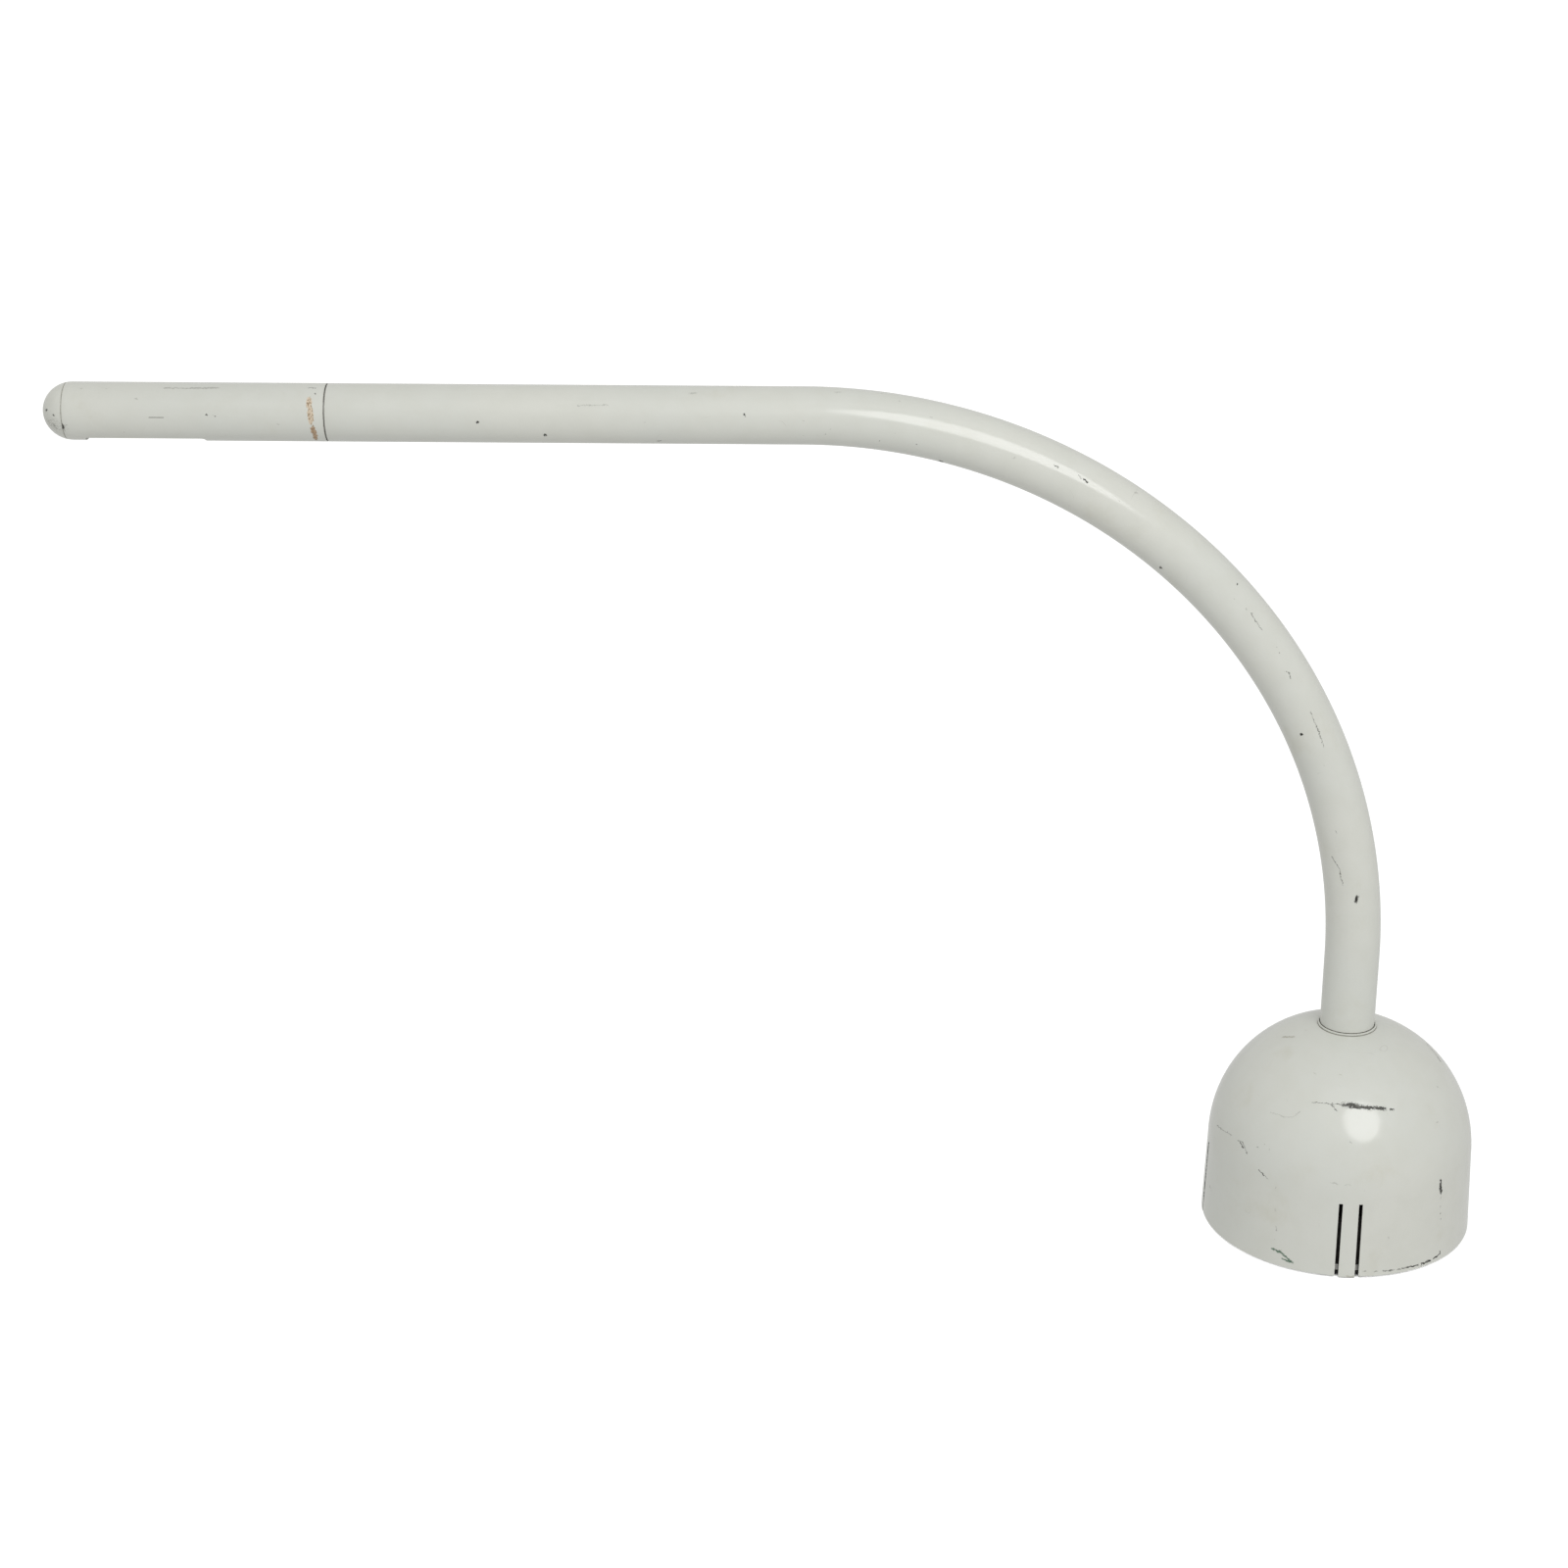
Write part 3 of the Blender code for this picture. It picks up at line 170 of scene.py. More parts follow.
def mesh_from(name, shape):
    """Turn a bmesh into a mesh with outward faces, smooth except at sharp edges."""
    bmesh.ops.recalc_face_normals(shape, faces=shape.faces)
    mesh = bpy.data.meshes.new(name)
    shape.to_mesh(mesh)
    shape.free()
    mesh.shade_smooth()
    mesh.set_sharp_from_angle(angle=SMOOTH_BELOW)
    return mesh


def lathe(name, outline, sides, place=Matrix.Identity(4)):
    """Spin an outline of (radius, height) points round Z. One that starts and ends at radius 0 is solid."""
    shape = bmesh.new()
    points = [shape.verts.new((radius, 0, height)) for radius, height in outline]
    edges = [shape.edges.new(pair) for pair in zip(points, points[1:])]
    if outline[0][0] > 0:
        edges.append(shape.edges.new((points[-1], points[0])))
    bmesh.ops.spin(shape, geom=points + edges, axis=(0, 0, 1), cent=(0, 0, 0), steps=sides,
                   angle=2 * math.pi, use_merge=True)
    bmesh.ops.remove_doubles(shape, verts=shape.verts, dist=1e-6)
    shape.transform(place)
    return mesh_from(name, shape)


def skin(name, rings, closed_ends, place=Matrix.Identity(4)):
    """Skin matching rings of points, with flat ends or joined end to end."""
    shape = bmesh.new()
    loops = [[shape.verts.new(point) for point in ring] for ring in rings]
    pairs = list(zip(loops, loops[1:]))
    if not closed_ends:
        pairs.append((loops[-1], loops[0]))
    for low, high in pairs:
        for side, corner in enumerate(low):
            after = (side + 1) % len(low)
            shape.faces.new((corner, low[after], high[after], high[side]))
    if closed_ends:
        shape.faces.new(loops[0])
        shape.faces.new(loops[-1])
    shape.transform(place)
    return mesh_from(name, shape)


def circle(radius, sides):
    """Points of a circle in the XY plane."""
    angles = spread(0, 2 * math.pi, sides)[:-1]
    return [Vector((radius * math.cos(angle), radius * math.sin(angle), 0)) for angle in angles]


def add_object(name, data):
    """Link a mesh, curve, light or camera as an object."""
    item = bpy.data.objects.new(name, data)
    bpy.context.scene.collection.objects.link(item)
    return item


def turned(name, outline, sides, place=Matrix.Identity(4)):
    """An object that is an outline spun round Z."""
    return add_object(name, lathe(name, outline, sides, place))


def spread(start, end, count):
    """Evenly spaced numbers from start to end, a count of steps apart."""
    return [start + (end - start) * step / count for step in range(count + 1)]


def modify(item, kind, **settings):
    """Apply one modifier to a piece."""
    modifier = item.modifiers.new(kind, kind)
    for name, value in settings.items():
        setattr(modifier, name, value)
    evaluated = item.evaluated_get(bpy.context.evaluated_depsgraph_get())
    mesh = bpy.data.meshes.new_from_object(evaluated)
    item.modifiers.clear()
    item.data = mesh


def cut(item, tools):
    """Cut a piece with tool meshes."""
    for mesh in tools:
        tool = add_object("tool", mesh)
        modify(item, "BOOLEAN", operation="DIFFERENCE", solver="EXACT", object=tool)
        bpy.data.objects.remove(tool)


def soften(item, width, segments=2, angle=math.radians(40)):
    """Round a piece's sharp edges."""
    modify(item, "BEVEL", width=width, segments=segments, limit_method="ANGLE", angle_limit=angle,
           harden_normals=True)


def piece(item, body, slot, material, *nodes):
    """Finish a piece: its material, the body it rides on and the CAD nodes it stands for."""
    item.data.materials.clear()
    item.data.materials.append(material)
    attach(item, body)
    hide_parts(*nodes)
    return item


def aimed(point, direction):
    """Matrix at a point whose Z runs along a direction."""
    return Matrix.Translation(point) @ Vector(direction).to_track_quat("Z", "Y").to_matrix().to_4x4()


def rod(radius, start, direction, depth):
    """A cylinder mesh from a start point along a direction, to cut holes with."""
    outline = [(0, depth), (radius, depth), (radius, 0), (0, 0)]
    return lathe("rod", outline, SMALL_SIDES, aimed(start, direction))


# ---- material helpers

class Graph:
    """Short ways to build the nodes of a new material, or of a world."""

    def __init__(self, name, world=None):
        self.owner = world or bpy.data.materials.new(name)
        self.owner.use_nodes = True
        self.tree = self.owner.node_tree
        self.place = self.node("ShaderNodeTexCoord").outputs["Generated" if world else "Object"]

    def node(self, kind, inputs=None, **settings):
        """Add a node, with its inputs by name and its other settings."""
        item = self.tree.nodes.new(kind)
        for name, value in settings.items():
            setattr(item, name, value)
        for name, value in (inputs or {}).items():
            self.feed(item.inputs[name], value)
        return item

    def feed(self, socket, value):
        """Link a socket to an output, or set its plain value."""
        if isinstance(value, bpy.types.NodeSocket):
            self.tree.links.new(value, socket)
        else:
            socket.default_value = value

    def math(self, operation, first, second=0):
        item = self.node("ShaderNodeMath", operation=operation)
        self.feed(item.inputs[0], first)
        self.feed(item.inputs[1], second)
        return item.outputs[0]

    def times(self, first, second):
        return self.math("MULTIPLY", first, second)

    def plus(self, first, second):
        return self.math("ADD", first, second)

    def minus(self, first, second):
        return self.math("SUBTRACT", first, second)

    def vector(self, operation, first, second=(0, 0, 0)):
        item = self.node("ShaderNodeVectorMath", operation=operation)
        self.feed(item.inputs[0], first)
        self.feed(item.inputs[1], second)
        return item.outputs["Value" if operation in ("LENGTH", "DISTANCE", "DOT_PRODUCT") else "Vector"]

    def noise(self, scale, detail, stretch=None, roughness=0.5, output="Fac"):
        """Noise, as a value or a colour. stretch multiplies the scale along each axis."""
        place = self.vector("MULTIPLY", self.place, stretch) if stretch else self.place
        inputs = {"Vector": place, "Scale": scale, "Detail": detail, "Roughness": roughness}
        return self.node("ShaderNodeTexNoise", inputs).outputs[output]

    def ease(self, value, start, end, low=0, high=1):
        """Run smoothly from low to high as the value goes from start to end."""
        inputs = {"Value": value, "From Min": start, "From Max": end, "To Min": low, "To Max": high}
        return self.node("ShaderNodeMapRange", inputs, interpolation_type="SMOOTHSTEP").outputs["Result"]

    def mix(self, share, first, second):
        """Mix two colours, each a socket or (red, green, blue)."""
        item = self.node("ShaderNodeMix", data_type="RGBA")
        self.feed(item.inputs[0], share)
        for socket, value in ((item.inputs[6], first), (item.inputs[7], second)):
            self.feed(socket, value if isinstance(value, bpy.types.NodeSocket) else (*value, 1))
        return item.outputs[2]

    def bump(self, height, distance):
        """A bump as high, in metres, as distance says."""
        return self.node("ShaderNodeBump", {"Distance": distance, "Height": height}).outputs["Normal"]

    def shade(self, **values):
        """Set the shader's inputs by name, with _ for a space, and return the material."""
        for name, value in values.items():
            self.feed(self.tree.nodes["Principled BSDF"].inputs[name.replace("_", " ")], value)
        return self.owner


def stroke_frame(place_at, start, end):
    """Middle, turn and half length of a straight stroke that lies on a surface between two places."""
    middle = [(first + second) / 2 for first, second in zip(start, end)]
    point, first_axis, _, outward = place_at(*middle)
    run = place_at(*end)[0] - place_at(*start)[0]
    along = run.normalized() if run.length > 0 else first_axis
    side = outward.cross(along).normalized()
    outward = along.cross(side)
    turn = Matrix((along, side, outward)).transposed()
    return point, turn.to_euler(), run.length / 2


def nearest_stroke(graph, place_at, strokes, place):
    """Distance to the nearest of several strokes, where 1 is a stroke's edge.

    A stroke is a width in mm and the pairs of numbers of the places that it runs through. A short one
    is an oval and a long one has round ends.
    """
    nearest = None
    for width, *numbers in strokes:
        stops = list(zip(numbers[::2], numbers[1::2]))
        half_width = width * MM / 2
        for start, end in zip(stops, stops[1:] or stops):
            point, turn, half_length = stroke_frame(place_at, start, end)
            depth = max(half_length, STROKE_DEPTH)
            oval = half_length < OVAL_BELOW * half_width
            size = (half_length + half_width, half_width, depth + half_width) if oval else (half_width,) * 3
            inputs = {"Vector": place, "Location": point, "Rotation": turn, "Scale": size}
            local = graph.node("ShaderNodeMapping", inputs, vector_type="TEXTURE").outputs[0]
            if oval:
                away = graph.vector("LENGTH", local)
            else:
                reach = Vector((half_length, 0, depth)) / half_width
                held = graph.vector("MAXIMUM", graph.vector("MINIMUM", local, reach), -reach)
                away = graph.vector("DISTANCE", local, held)
            nearest = graph.math("MINIMUM", nearest, away) if nearest else away
    return nearest


# ---- marks, by kind

# Each kind: its two colours, how ragged it is, how soft its edge is, how sparse it is, how much it covers
MARK_KINDS = {
    "chip": ((0.014, 0.014, 0.012), (0.035, 0.033, 0.026), 1.9, 0.3, 0, 1),
    "scuff": ((0.04, 0.042, 0.036), (0.12, 0.12, 0.1), 2.6, 0.5, 0.3, 0.92),
    "trace": ((0.21, 0.21, 0.19), (0.32, 0.32, 0.28), 1.9, 0.8, 0.1, 0.65),
    "tape": ((0.6, 0.5, 0.375), (0.27, 0.19, 0.11), 0.8, 0.2, 0, 0.95),
    "tape_brown": ((0.4, 0.275, 0.165), (0.2, 0.125, 0.07), 1, 0.3, 0, 0.96),
    "speckle": ((0.08, 0.08, 0.065), (0.22, 0.22, 0.18), 5, 0.5, 0.8, 0.8),
    "line": ((0.11, 0.11, 0.095), (0.18, 0.18, 0.155), 0.5, 0.4, 0, 0.85),
    "brown": ((0.17, 0.15, 0.09), (0.26, 0.23, 0.16), 1.8, 0.9, 0.1, 0.65),
    "green": ((0.06, 0.115, 0.075), (0.14, 0.21, 0.155), 2.2, 0.5, 0.05, 0.95),
}

# Strokes on the base: width, then degrees from the camera's side and height, again and again. Lengths in mm
DOME_MARKS = {
    "chip": [
        (7, -7, 190.8, -1.5, 189.6), (4.5, -3, 189.2, 6, 188.4), (4.2, 8.5, 187.8, 14, 186.6),
        (2.2, 16.8, 185.5, 18.6, 184.8), (5, 39.9, 96.5, 40.3, 88.5), (3, 39.8, 101, 40.6, 85),
        (2, 24, 6.4, 29, 6), (2.6, 31, 6, 36, 6.2), (2.2, 38, 6.8, 41.5, 8.5), (2, 42.1, 8.5, 42, 12.5),
        # The chip at -89.4 degrees, 15 to 86 mm up, is painted shade on the walls of the left slot seen
        # edge-on
        (2.8, -89.4, 86, -89.4, 15), (1.5, -58.5, 125.5, -56, 122.5), (1.2, -45.6, 106.4, -42.6, 103.5),
        (1.5, 128, 140, 133, 137), (1.4, -141, 111, -141.6, 106)],
    "scuff": [
        (9.1, -9, 191, 6, 188.6), (6.5, 4, 188.8, 14, 186.8), (1.7, -26, 188.7, -20, 189.8, -9, 190.3),
        (1.8, -15.5, 189, -12.5, 185), (1.3, -60.5, 126.8, -57, 127.2, -52.8, 117.9),
        (1.2, -80, 121.6, -65.3, 127.4), (1.3, -48.6, 130.1, -47.8, 130.1),
        (1.2, -42.3, 134.2, -41.9, 131.8), (1, -41.8, 103, -40, 100),
        (1.4, -80.5, 45.5, -78.5, 43.8, -77, 42.5), (2, 3.5, 8.5, 5, 8), (2, 8, 7.8, 10, 7.5),
        (2.5, 12.5, 7, 17, 6.6), (2.5, 19, 6.4, 24, 6.4), (2.3, 40.5, 80.5, 40.5, 78.5),
        (2.3, 40.9, 68.5, 40.9, 66.5), (2.2, 41.1, 60, 41.1, 59), (2.3, 41.3, 53.5, 41.3, 51.5),
        # The scuff from 96 to 84 degrees, 195 to 207 mm up, is painted shade along the dome's right
        # silhouette
        (3.6, 96, 207, 90.7, 202, 84, 195.5), (1.4, 56.4, 189.9, 57, 188), (1.8, 43, 162.7, 44, 162.2),
        (1.2, -4.9, 157.3, -4.5, 156.8), (3.1, 140, 162, 160, 156), (1.6, -165, 70, -158, 64, -150, 62.2)],
    "trace": [
        (1.1, -37.7, 169.8, -34.5, 172.2, -31.5, 179), (1.1, -47, 169, -38, 169.8),
        (1.1, -13, 113, -9, 112.2), (1.1, -6.5, 112, -4, 112.2), (1.4, 1.2, 106, 2.6, 105.6),
        (1.3, -36.2, 95, -36, 92), (1.3, -35.6, 69, -35.4, 66), (1.4, -34.8, 48, -34.4, 43),
        (1.1, -35, 33, -34.8, 30), (1.4, 13.4, 48, 13.7, 45), (1.1, 10.8, 30, 11.6, 28),
        (1.1, 9.2, 70, 9.6, 69), (1.3, -120, 50, -112, 52)],
    "brown": [
        (3.8, -86, 221.5, -77, 226.2), (1.9, -81.5, 231.5, -79, 231.8), (1.9, -32, 211, -29, 210.5),
        (1.7, -14, 213.5, -11, 213), (2.6, -3, 2.2, 3, 1.8)],
    "green": [
        (3.1, -35.6, 20, -31, 17.8), (3.4, -32, 19.5, -27, 11), (2.2, -30.5, 11, -26, 9.8)],
}

# Strokes on the arm: width, then distance from the head joint and degrees from the top towards the camera
ARM_MARKS = {
    "chip": [
        (3, 157.1, 94, 157.5, 94), (3.2, 225.2, 122, 225.8, 123), (1.9, 340, 141, 344, 140),
        (4.2, 639.5, 150, 642, 153), (3.8, 909, 133, 910, 135), (3.6, 1157, 112, 1158, 112),
        (4.2, 1358, 88, 1365, 91), (1.6, 785, 64, 790, 67), (1.5, 980.3, 44, 981, 45),
        (2, 430.6, 75, 431.2, 79), (2.8, 300, -70, 301, -70), (3.2, 830, -95, 832, -96),
        (3, 1230, -60, 1233, -61), (2.5, 64, -120, 65, -120)],
    "scuff": [
        (1.4, 1012, 64, 1019, 67, 1028, 68), (1.4, 1029, 70, 1034, 68), (1.6, 1085, 80, 1088, 74, 1095, 77),
        (1.3, 1138.9, 76, 1159, 78, 1180.4, 81), (1.6, 1309.9, 131, 1325, 118, 1344, 115),
        (1.7, 1278, 111, 1280, 111), (1.6, 1005, 66, 1006, 67), (1.4, 1057.3, 66, 1059, 65),
        (1.7, 1064, 67, 1065, 68), (1.6, 778, 62, 783, 66), (1.7, 751, 66, 757, 66),
        (1.7, 490.5, 121, 491.5, 120), (1.7, 513, 114, 514.2, 114), (1.7, 570.2, 120, 571.4, 119),
        (1.4, 609, 112, 610.2, 111), (1.7, 1130, -100, 1148, -92, 1160, -95), (1.8, 520, -120, 560, -118),
        (2.1, 35, -40, 80, -42), (1.6, 950, -40, 965, -46)],
    "trace": [
        (3.4, 374, 30, 380.5, 28), (3, 521.5, 21, 527, 19), (1.8, 327, 92, 328.2, 92),
        (1.5, 490.6, 86, 491.6, 86), (1.4, 519, 102, 520, 102), (1.8, 567, 8, 568.4, 8),
        (1.7, 585, 27, 586.4, 26), (1.6, 584.6, 97, 586, 96), (1.8, 618, 53, 619.4, 52),
        (3, 838, 31, 841.5, 29), (1.6, 827.6, 67, 829, 67), (1.7, 710, 83, 712, 82),
        (1.8, 988, 70, 989, 70), (1.5, 260, 60, 290, 58), (1.7, 1200, 95, 1201.2, 95),
        (2.3, 660, -60, 700, -62), (2.5, 1300, -90, 1306, -80), (1.8, 200, -30, 240, -33)],
}

# Strokes on the head, whose distances run the other way and have a minus in front
HEAD_MARKS = {
    "chip": [
        (3.2, -268, 104, -268.4, 116), (2.8, -285.7, 74, -285.3, 76), (2, -276.8, 86, -276.6, 87),
        (1.2, -119, 84, -119.2, 84), (1.8, -9.6, 36, -9.2, 37), (1.2, -110.5, 84, -110.2, 84),
        (2.5, -90, -75, -90.8, -76), (2.2, -230, -100, -230.4, -102)],
    "scuff": [
        (2.1, -17.3, 20, -10, 21), (3.4, -260, -40, -240, -44)],
    "trace": [
        (2.8, -165, 24, -138, 24), (3.9, -139, 24, -110, 23), (1.8, -251, 27, -249, 27),
        (1.8, -226, 27, -223, 27), (2.3, -193, 52, -190, 52), (1.8, -103.6, 130, -102.4, 129),
        (1.8, -48, 100, -46.5, 100), (1.7, -207, 122, -205.6, 121), (1.6, -113.8, 84, -110, 84),
        (1.8, 9.3, 84, 10, 84), (2.8, -150, -60, -120, -63), (2.1, -50, -110, -30, -108)],
    "line": [
        (1.1, -178.6, 88.6, -164, 88.6)],
    "speckle": [
        (26, -283, 108, -274, 116), (9, -270, 100, -264, 112)],
    "tape": [
        (6.4, -15, 49, -14.5, 70), (6.8, -14, 66, -13, 96)],
    "tape_brown": [
        (6, -12, 107, -11.2, 126), (5.4, -11, 120, -11.2, 146)],
}


# ---- materials

def enamel(name, place_at, marks, seams=(), rings=()):
    """Stove enamel that has aged: faint mottling, specks, hairlines, painted shade in its seams with dirt
    beside it, and marks.

    Painted shade and dirt lie along seams, (place along X, ...), and rings round Z, (radius, height, ...),
    each followed by the painted shade line's half width, how much it covers and the fainter dirt's half
    width.
    """
    graph = Graph(name)
    wide = graph.noise(5, 3)
    blotch = graph.noise(38, 3)
    fine = graph.noise(900, 2)
    colour = graph.mix(graph.ease(wide, 0.35, 0.65), (0.59, 0.602, 0.56), (0.605, 0.61, 0.562))
    colour = graph.mix(graph.ease(blotch, 0.35, 0.75, 0, 0.45), colour, (0.565, 0.572, 0.52))
    colour = graph.mix(graph.ease(fine, 0.3, 0.7, 0, 0.12), colour, (0.52, 0.53, 0.49))

    # Yellowed grime in broad, faint clouds
    cloud = graph.noise(13, 5, roughness=0.65)
    colour = graph.mix(graph.ease(cloud, 0.56, 0.74, 0, 0.3), colour, (0.5, 0.49, 0.4))

    # Specks: one in each of a few cells, pin-head size
    cells = graph.node("ShaderNodeTexVoronoi", {"Vector": graph.place, "Scale": 62})
    pick = graph.node("ShaderNodeSeparateColor", {"Color": cells.outputs["Color"]})
    chosen = graph.ease(pick.outputs[0], 0.8, 0.82)
    size = graph.times(pick.outputs[1], 0.045)
    inside = graph.minus(size, cells.outputs["Distance"])
    speck = graph.times(graph.ease(inside, -0.012, 0.012), chosen)
    colour = graph.mix(graph.times(speck, 0.55), colour, (0.2, 0.19, 0.16))

    # Hairlines: thin contour lines of a noise, kept where another noise is high
    thread = graph.noise(17, 1)
    line = graph.ease(graph.math("ABSOLUTE", graph.minus(thread, 0.5)), 0.0022, 0.0004)
    where = graph.noise(31, 2)
    hairline = graph.times(line, graph.ease(where, 0.6, 0.68))
    colour = graph.mix(graph.times(hairline, 0.28), colour, (0.3, 0.3, 0.27))

    # Painted shade: a dark line in each seam or round each ring, where the gap between parts falls in
    # shade, with fainter dirt beside it
    grime = graph.noise(640, 4)
    axis = graph.node("ShaderNodeSeparateXYZ", {"Vector": graph.place})
    flat = graph.vector("LENGTH", graph.vector("MULTIPLY", graph.place, (1, 1, 0)))
    lines = []
    for seam, *look in seams:
        lines.append((graph.math("ABSOLUTE", graph.minus(axis.outputs[0], seam)), *look))
    for radius, height, *look in rings:
        rise = graph.minus(axis.outputs[2], height)
        reach = graph.minus(flat, radius)
        square = graph.plus(graph.times(rise, rise), graph.times(reach, reach))
        lines.append((graph.math("SQRT", square), *look))
    for away, half_width, cover, faint_width in lines:
        wander = graph.times(graph.minus(grime, 0.5), faint_width * 1.5)
        faint = graph.ease(graph.plus(away, wander), faint_width, 0.2 * faint_width, 0, 0.32)
        colour = graph.mix(faint, colour, (0.24, 0.22, 0.14))
        # The near-black line is painted shade in the gap; the fainter band above it is dirt
        wander = graph.times(graph.minus(grime, 0.5), half_width)
        dark = graph.ease(graph.plus(away, wander), 1.2 * half_width, 0.7 * half_width, 0, cover)
        colour = graph.mix(dark, colour, (0.03, 0.024, 0.016))

    # Placed marks; the noise breaks up their edges
    coarse = graph.vector("MULTIPLY", graph.noise(330, 3, output="Color"), (0.0048,) * 3)
    fine = graph.vector("MULTIPLY", graph.noise(1100, 1, output="Color"), (0.0014,) * 3)
    shifted = graph.vector("ADD", graph.place, graph.vector("ADD", coarse, fine))
    place = graph.vector("SUBTRACT", shifted, (0.0031,) * 3)
    tooth = graph.noise(1300, 2)
    tooth = graph.minus(tooth, 0.5)
    bare = None
    for kind, strokes in marks.items():
        dark, light, ragged, soft, sparse, cover = MARK_KINDS[kind]
        away = nearest_stroke(graph, place_at, strokes, graph.place if kind == "line" else place)
        away = graph.plus(away, graph.times(tooth, ragged))
        mask = graph.ease(away, 1 - sparse, 1 - sparse - soft)
        tint = graph.mix(graph.ease(grime, 0.45, 0.62), dark, light)
        colour = graph.mix(graph.times(mask, cover), colour, tint)
        bare = graph.math("MAXIMUM", bare, mask) if bare else mask

    ripple = graph.noise(95, 2)
    normal = graph.bump(ripple, 0.00005)
    dull = graph.times(bare, 0.4)
    roughness = graph.plus(graph.ease(cloud, 0.3, 0.8, 0.11, 0.17), dull)
    roughness = graph.plus(roughness, graph.times(hairline, 0.15))
    return graph.shade(Base_Color=colour, Roughness=roughness, Normal=normal, IOR=1.46)


def metal(name, colour, worn, roughness, grain=(1, 1, 1)):
    """Bare or plated metal with drawn grain, dull patches and fine scratches."""
    graph = Graph(name)
    streak = graph.noise(420, 3, stretch=grain)
    patch = graph.noise(34, 4)
    spots = graph.noise(260, 3)
    tone = graph.mix(graph.ease(patch, 0.35, 0.7, 0, 0.8), colour, worn)
    tone = graph.mix(graph.ease(spots, 0.62, 0.72, 0, 0.5), tone, tuple(0.35 * part for part in worn))
    rough = graph.plus(graph.times(streak, 0.12), graph.ease(patch, 0.3, 0.8, 0, 0.18))
    rough = graph.plus(rough, roughness - 0.06)
    normal = graph.bump(streak, 0.00003)
    return graph.shade(Base_Color=tone, Roughness=rough, Metallic=1, Normal=normal)


def moulded(name, colour, second, roughness, bump_size, grain=300):
    """Plastic, rubber, porcelain or cast stuff: cloudy colour, pitted surface, uneven gloss."""
    graph = Graph(name)
    cloud = graph.noise(48, 4)
    pits = graph.noise(grain, 3)
    dust = graph.noise(140, 5)
    tone = graph.mix(graph.ease(cloud, 0.3, 0.7), colour, second)
    tone = graph.mix(graph.ease(dust, 0.55, 0.78, 0, 0.25), tone, (0.3, 0.28, 0.24))
    rough = graph.ease(cloud, 0.25, 0.75, roughness - 0.06, roughness + 0.06)
    return graph.shade(Base_Color=tone, Roughness=rough, Normal=graph.bump(pits, bump_size), IOR=1.5)


def felt_material():
    """Black wool felt: tangled fibres, lint and a crushed, dusty surface."""
    graph = Graph("felt_worn")
    fibre = graph.noise(1400, 3, stretch=(1, 0.35, 1))
    cross = graph.noise(1200, 3, stretch=(0.3, 1, 1))
    patch = graph.noise(28, 4)
    lint = graph.noise(520, 2)
    nap = graph.times(fibre, cross)
    tone = graph.mix(graph.ease(nap, 0.12, 0.42), (0.018, 0.018, 0.017), (0.075, 0.073, 0.068))
    tone = graph.mix(graph.ease(patch, 0.45, 0.75, 0, 0.35), tone, (0.11, 0.1, 0.09))
    tone = graph.mix(graph.ease(lint, 0.72, 0.78, 0, 0.6), tone, (0.26, 0.25, 0.22))
    return graph.shade(Base_Color=tone, Roughness=0.95, Normal=graph.bump(nap, 0.0006), Sheen_Weight=0.25,
                       Sheen_Roughness=0.5)


def glass_material():
    """Clear bulb glass with faint draw lines and dust."""
    graph = Graph("glass_clear")
    dust = graph.noise(180, 4)
    lines = graph.noise(60, 2, stretch=(0.15, 1, 1))
    rough = graph.ease(dust, 0.5, 0.75, 0.02, 0.14)
    tone = graph.mix(graph.ease(dust, 0.45, 0.8, 0, 0.6), (0.97, 0.98, 0.97), (0.84, 0.83, 0.78))
    return graph.shade(Base_Color=tone, Roughness=rough, Transmission_Weight=1, IOR=1.5,
                       Normal=graph.bump(lines, 0.00002))


def make_materials():
    """Every finish but the enamels, by its slot's name."""
    return {
        "steel": metal("steel_worn", (0.5, 0.5, 0.48), (0.33, 0.32, 0.3), 0.38),
        "zinc": metal("zinc_plate", (0.6, 0.6, 0.57), (0.42, 0.41, 0.37), 0.34),
        "iron": moulded("cast_iron", (0.03, 0.029, 0.028), (0.055, 0.048, 0.042), 0.72, 0.0005, grain=180),
        "felt": felt_material(),
        "rubber": moulded("rubber_black", (0.022, 0.022, 0.021), (0.038, 0.037, 0.035), 0.62, 0.00012),
        "nylon": moulded("nylon_ivory", (0.7, 0.67, 0.58), (0.62, 0.59, 0.49), 0.45, 0.00005),
        "bakelite": moulded("bakelite_brown", (0.018, 0.013, 0.01), (0.034, 0.021, 0.014), 0.26, 0.00004),
        "porcelain": moulded("porcelain_white", (0.78, 0.77, 0.72), (0.7, 0.68, 0.62), 0.22, 0.00003),
        "brass": metal("brass_aged", (0.74, 0.55, 0.26), (0.45, 0.33, 0.17), 0.3),
        "aluminium": metal("aluminium_bright", (0.82, 0.82, 0.81), (0.62, 0.62, 0.6), 0.2, (0.08, 1, 1)),
        "glass": glass_material(),
        "tungsten": metal("tungsten_wire", (0.25, 0.25, 0.25), (0.14, 0.14, 0.14), 0.45),
        "sheath": moulded("cable_sheath", (0.6, 0.59, 0.54), (0.5, 0.49, 0.43), 0.5, 0.00008),
        "live": moulded("core_brown", (0.22, 0.09, 0.035), (0.16, 0.065, 0.03), 0.45, 0.00004),
        "neutral": moulded("core_blue", (0.045, 0.12, 0.42), (0.035, 0.09, 0.31), 0.45, 0.00004),
    }


# ---- base

def dome_curve():
    """(radius, height) points along the dome's curve, from the wall's top to the neck hole."""
    end_angle = math.acos((NECK_HOLE_RADIUS / WALL_TOP_RADIUS) ** (DOME_EXPONENT / 2))
    power = 2 / DOME_EXPONENT
    return [(WALL_TOP_RADIUS * math.cos(angle) ** power, WALL_TOP + DOME_HEIGHT * math.sin(angle) ** power)
            for angle in spread(0, end_angle, 26)]


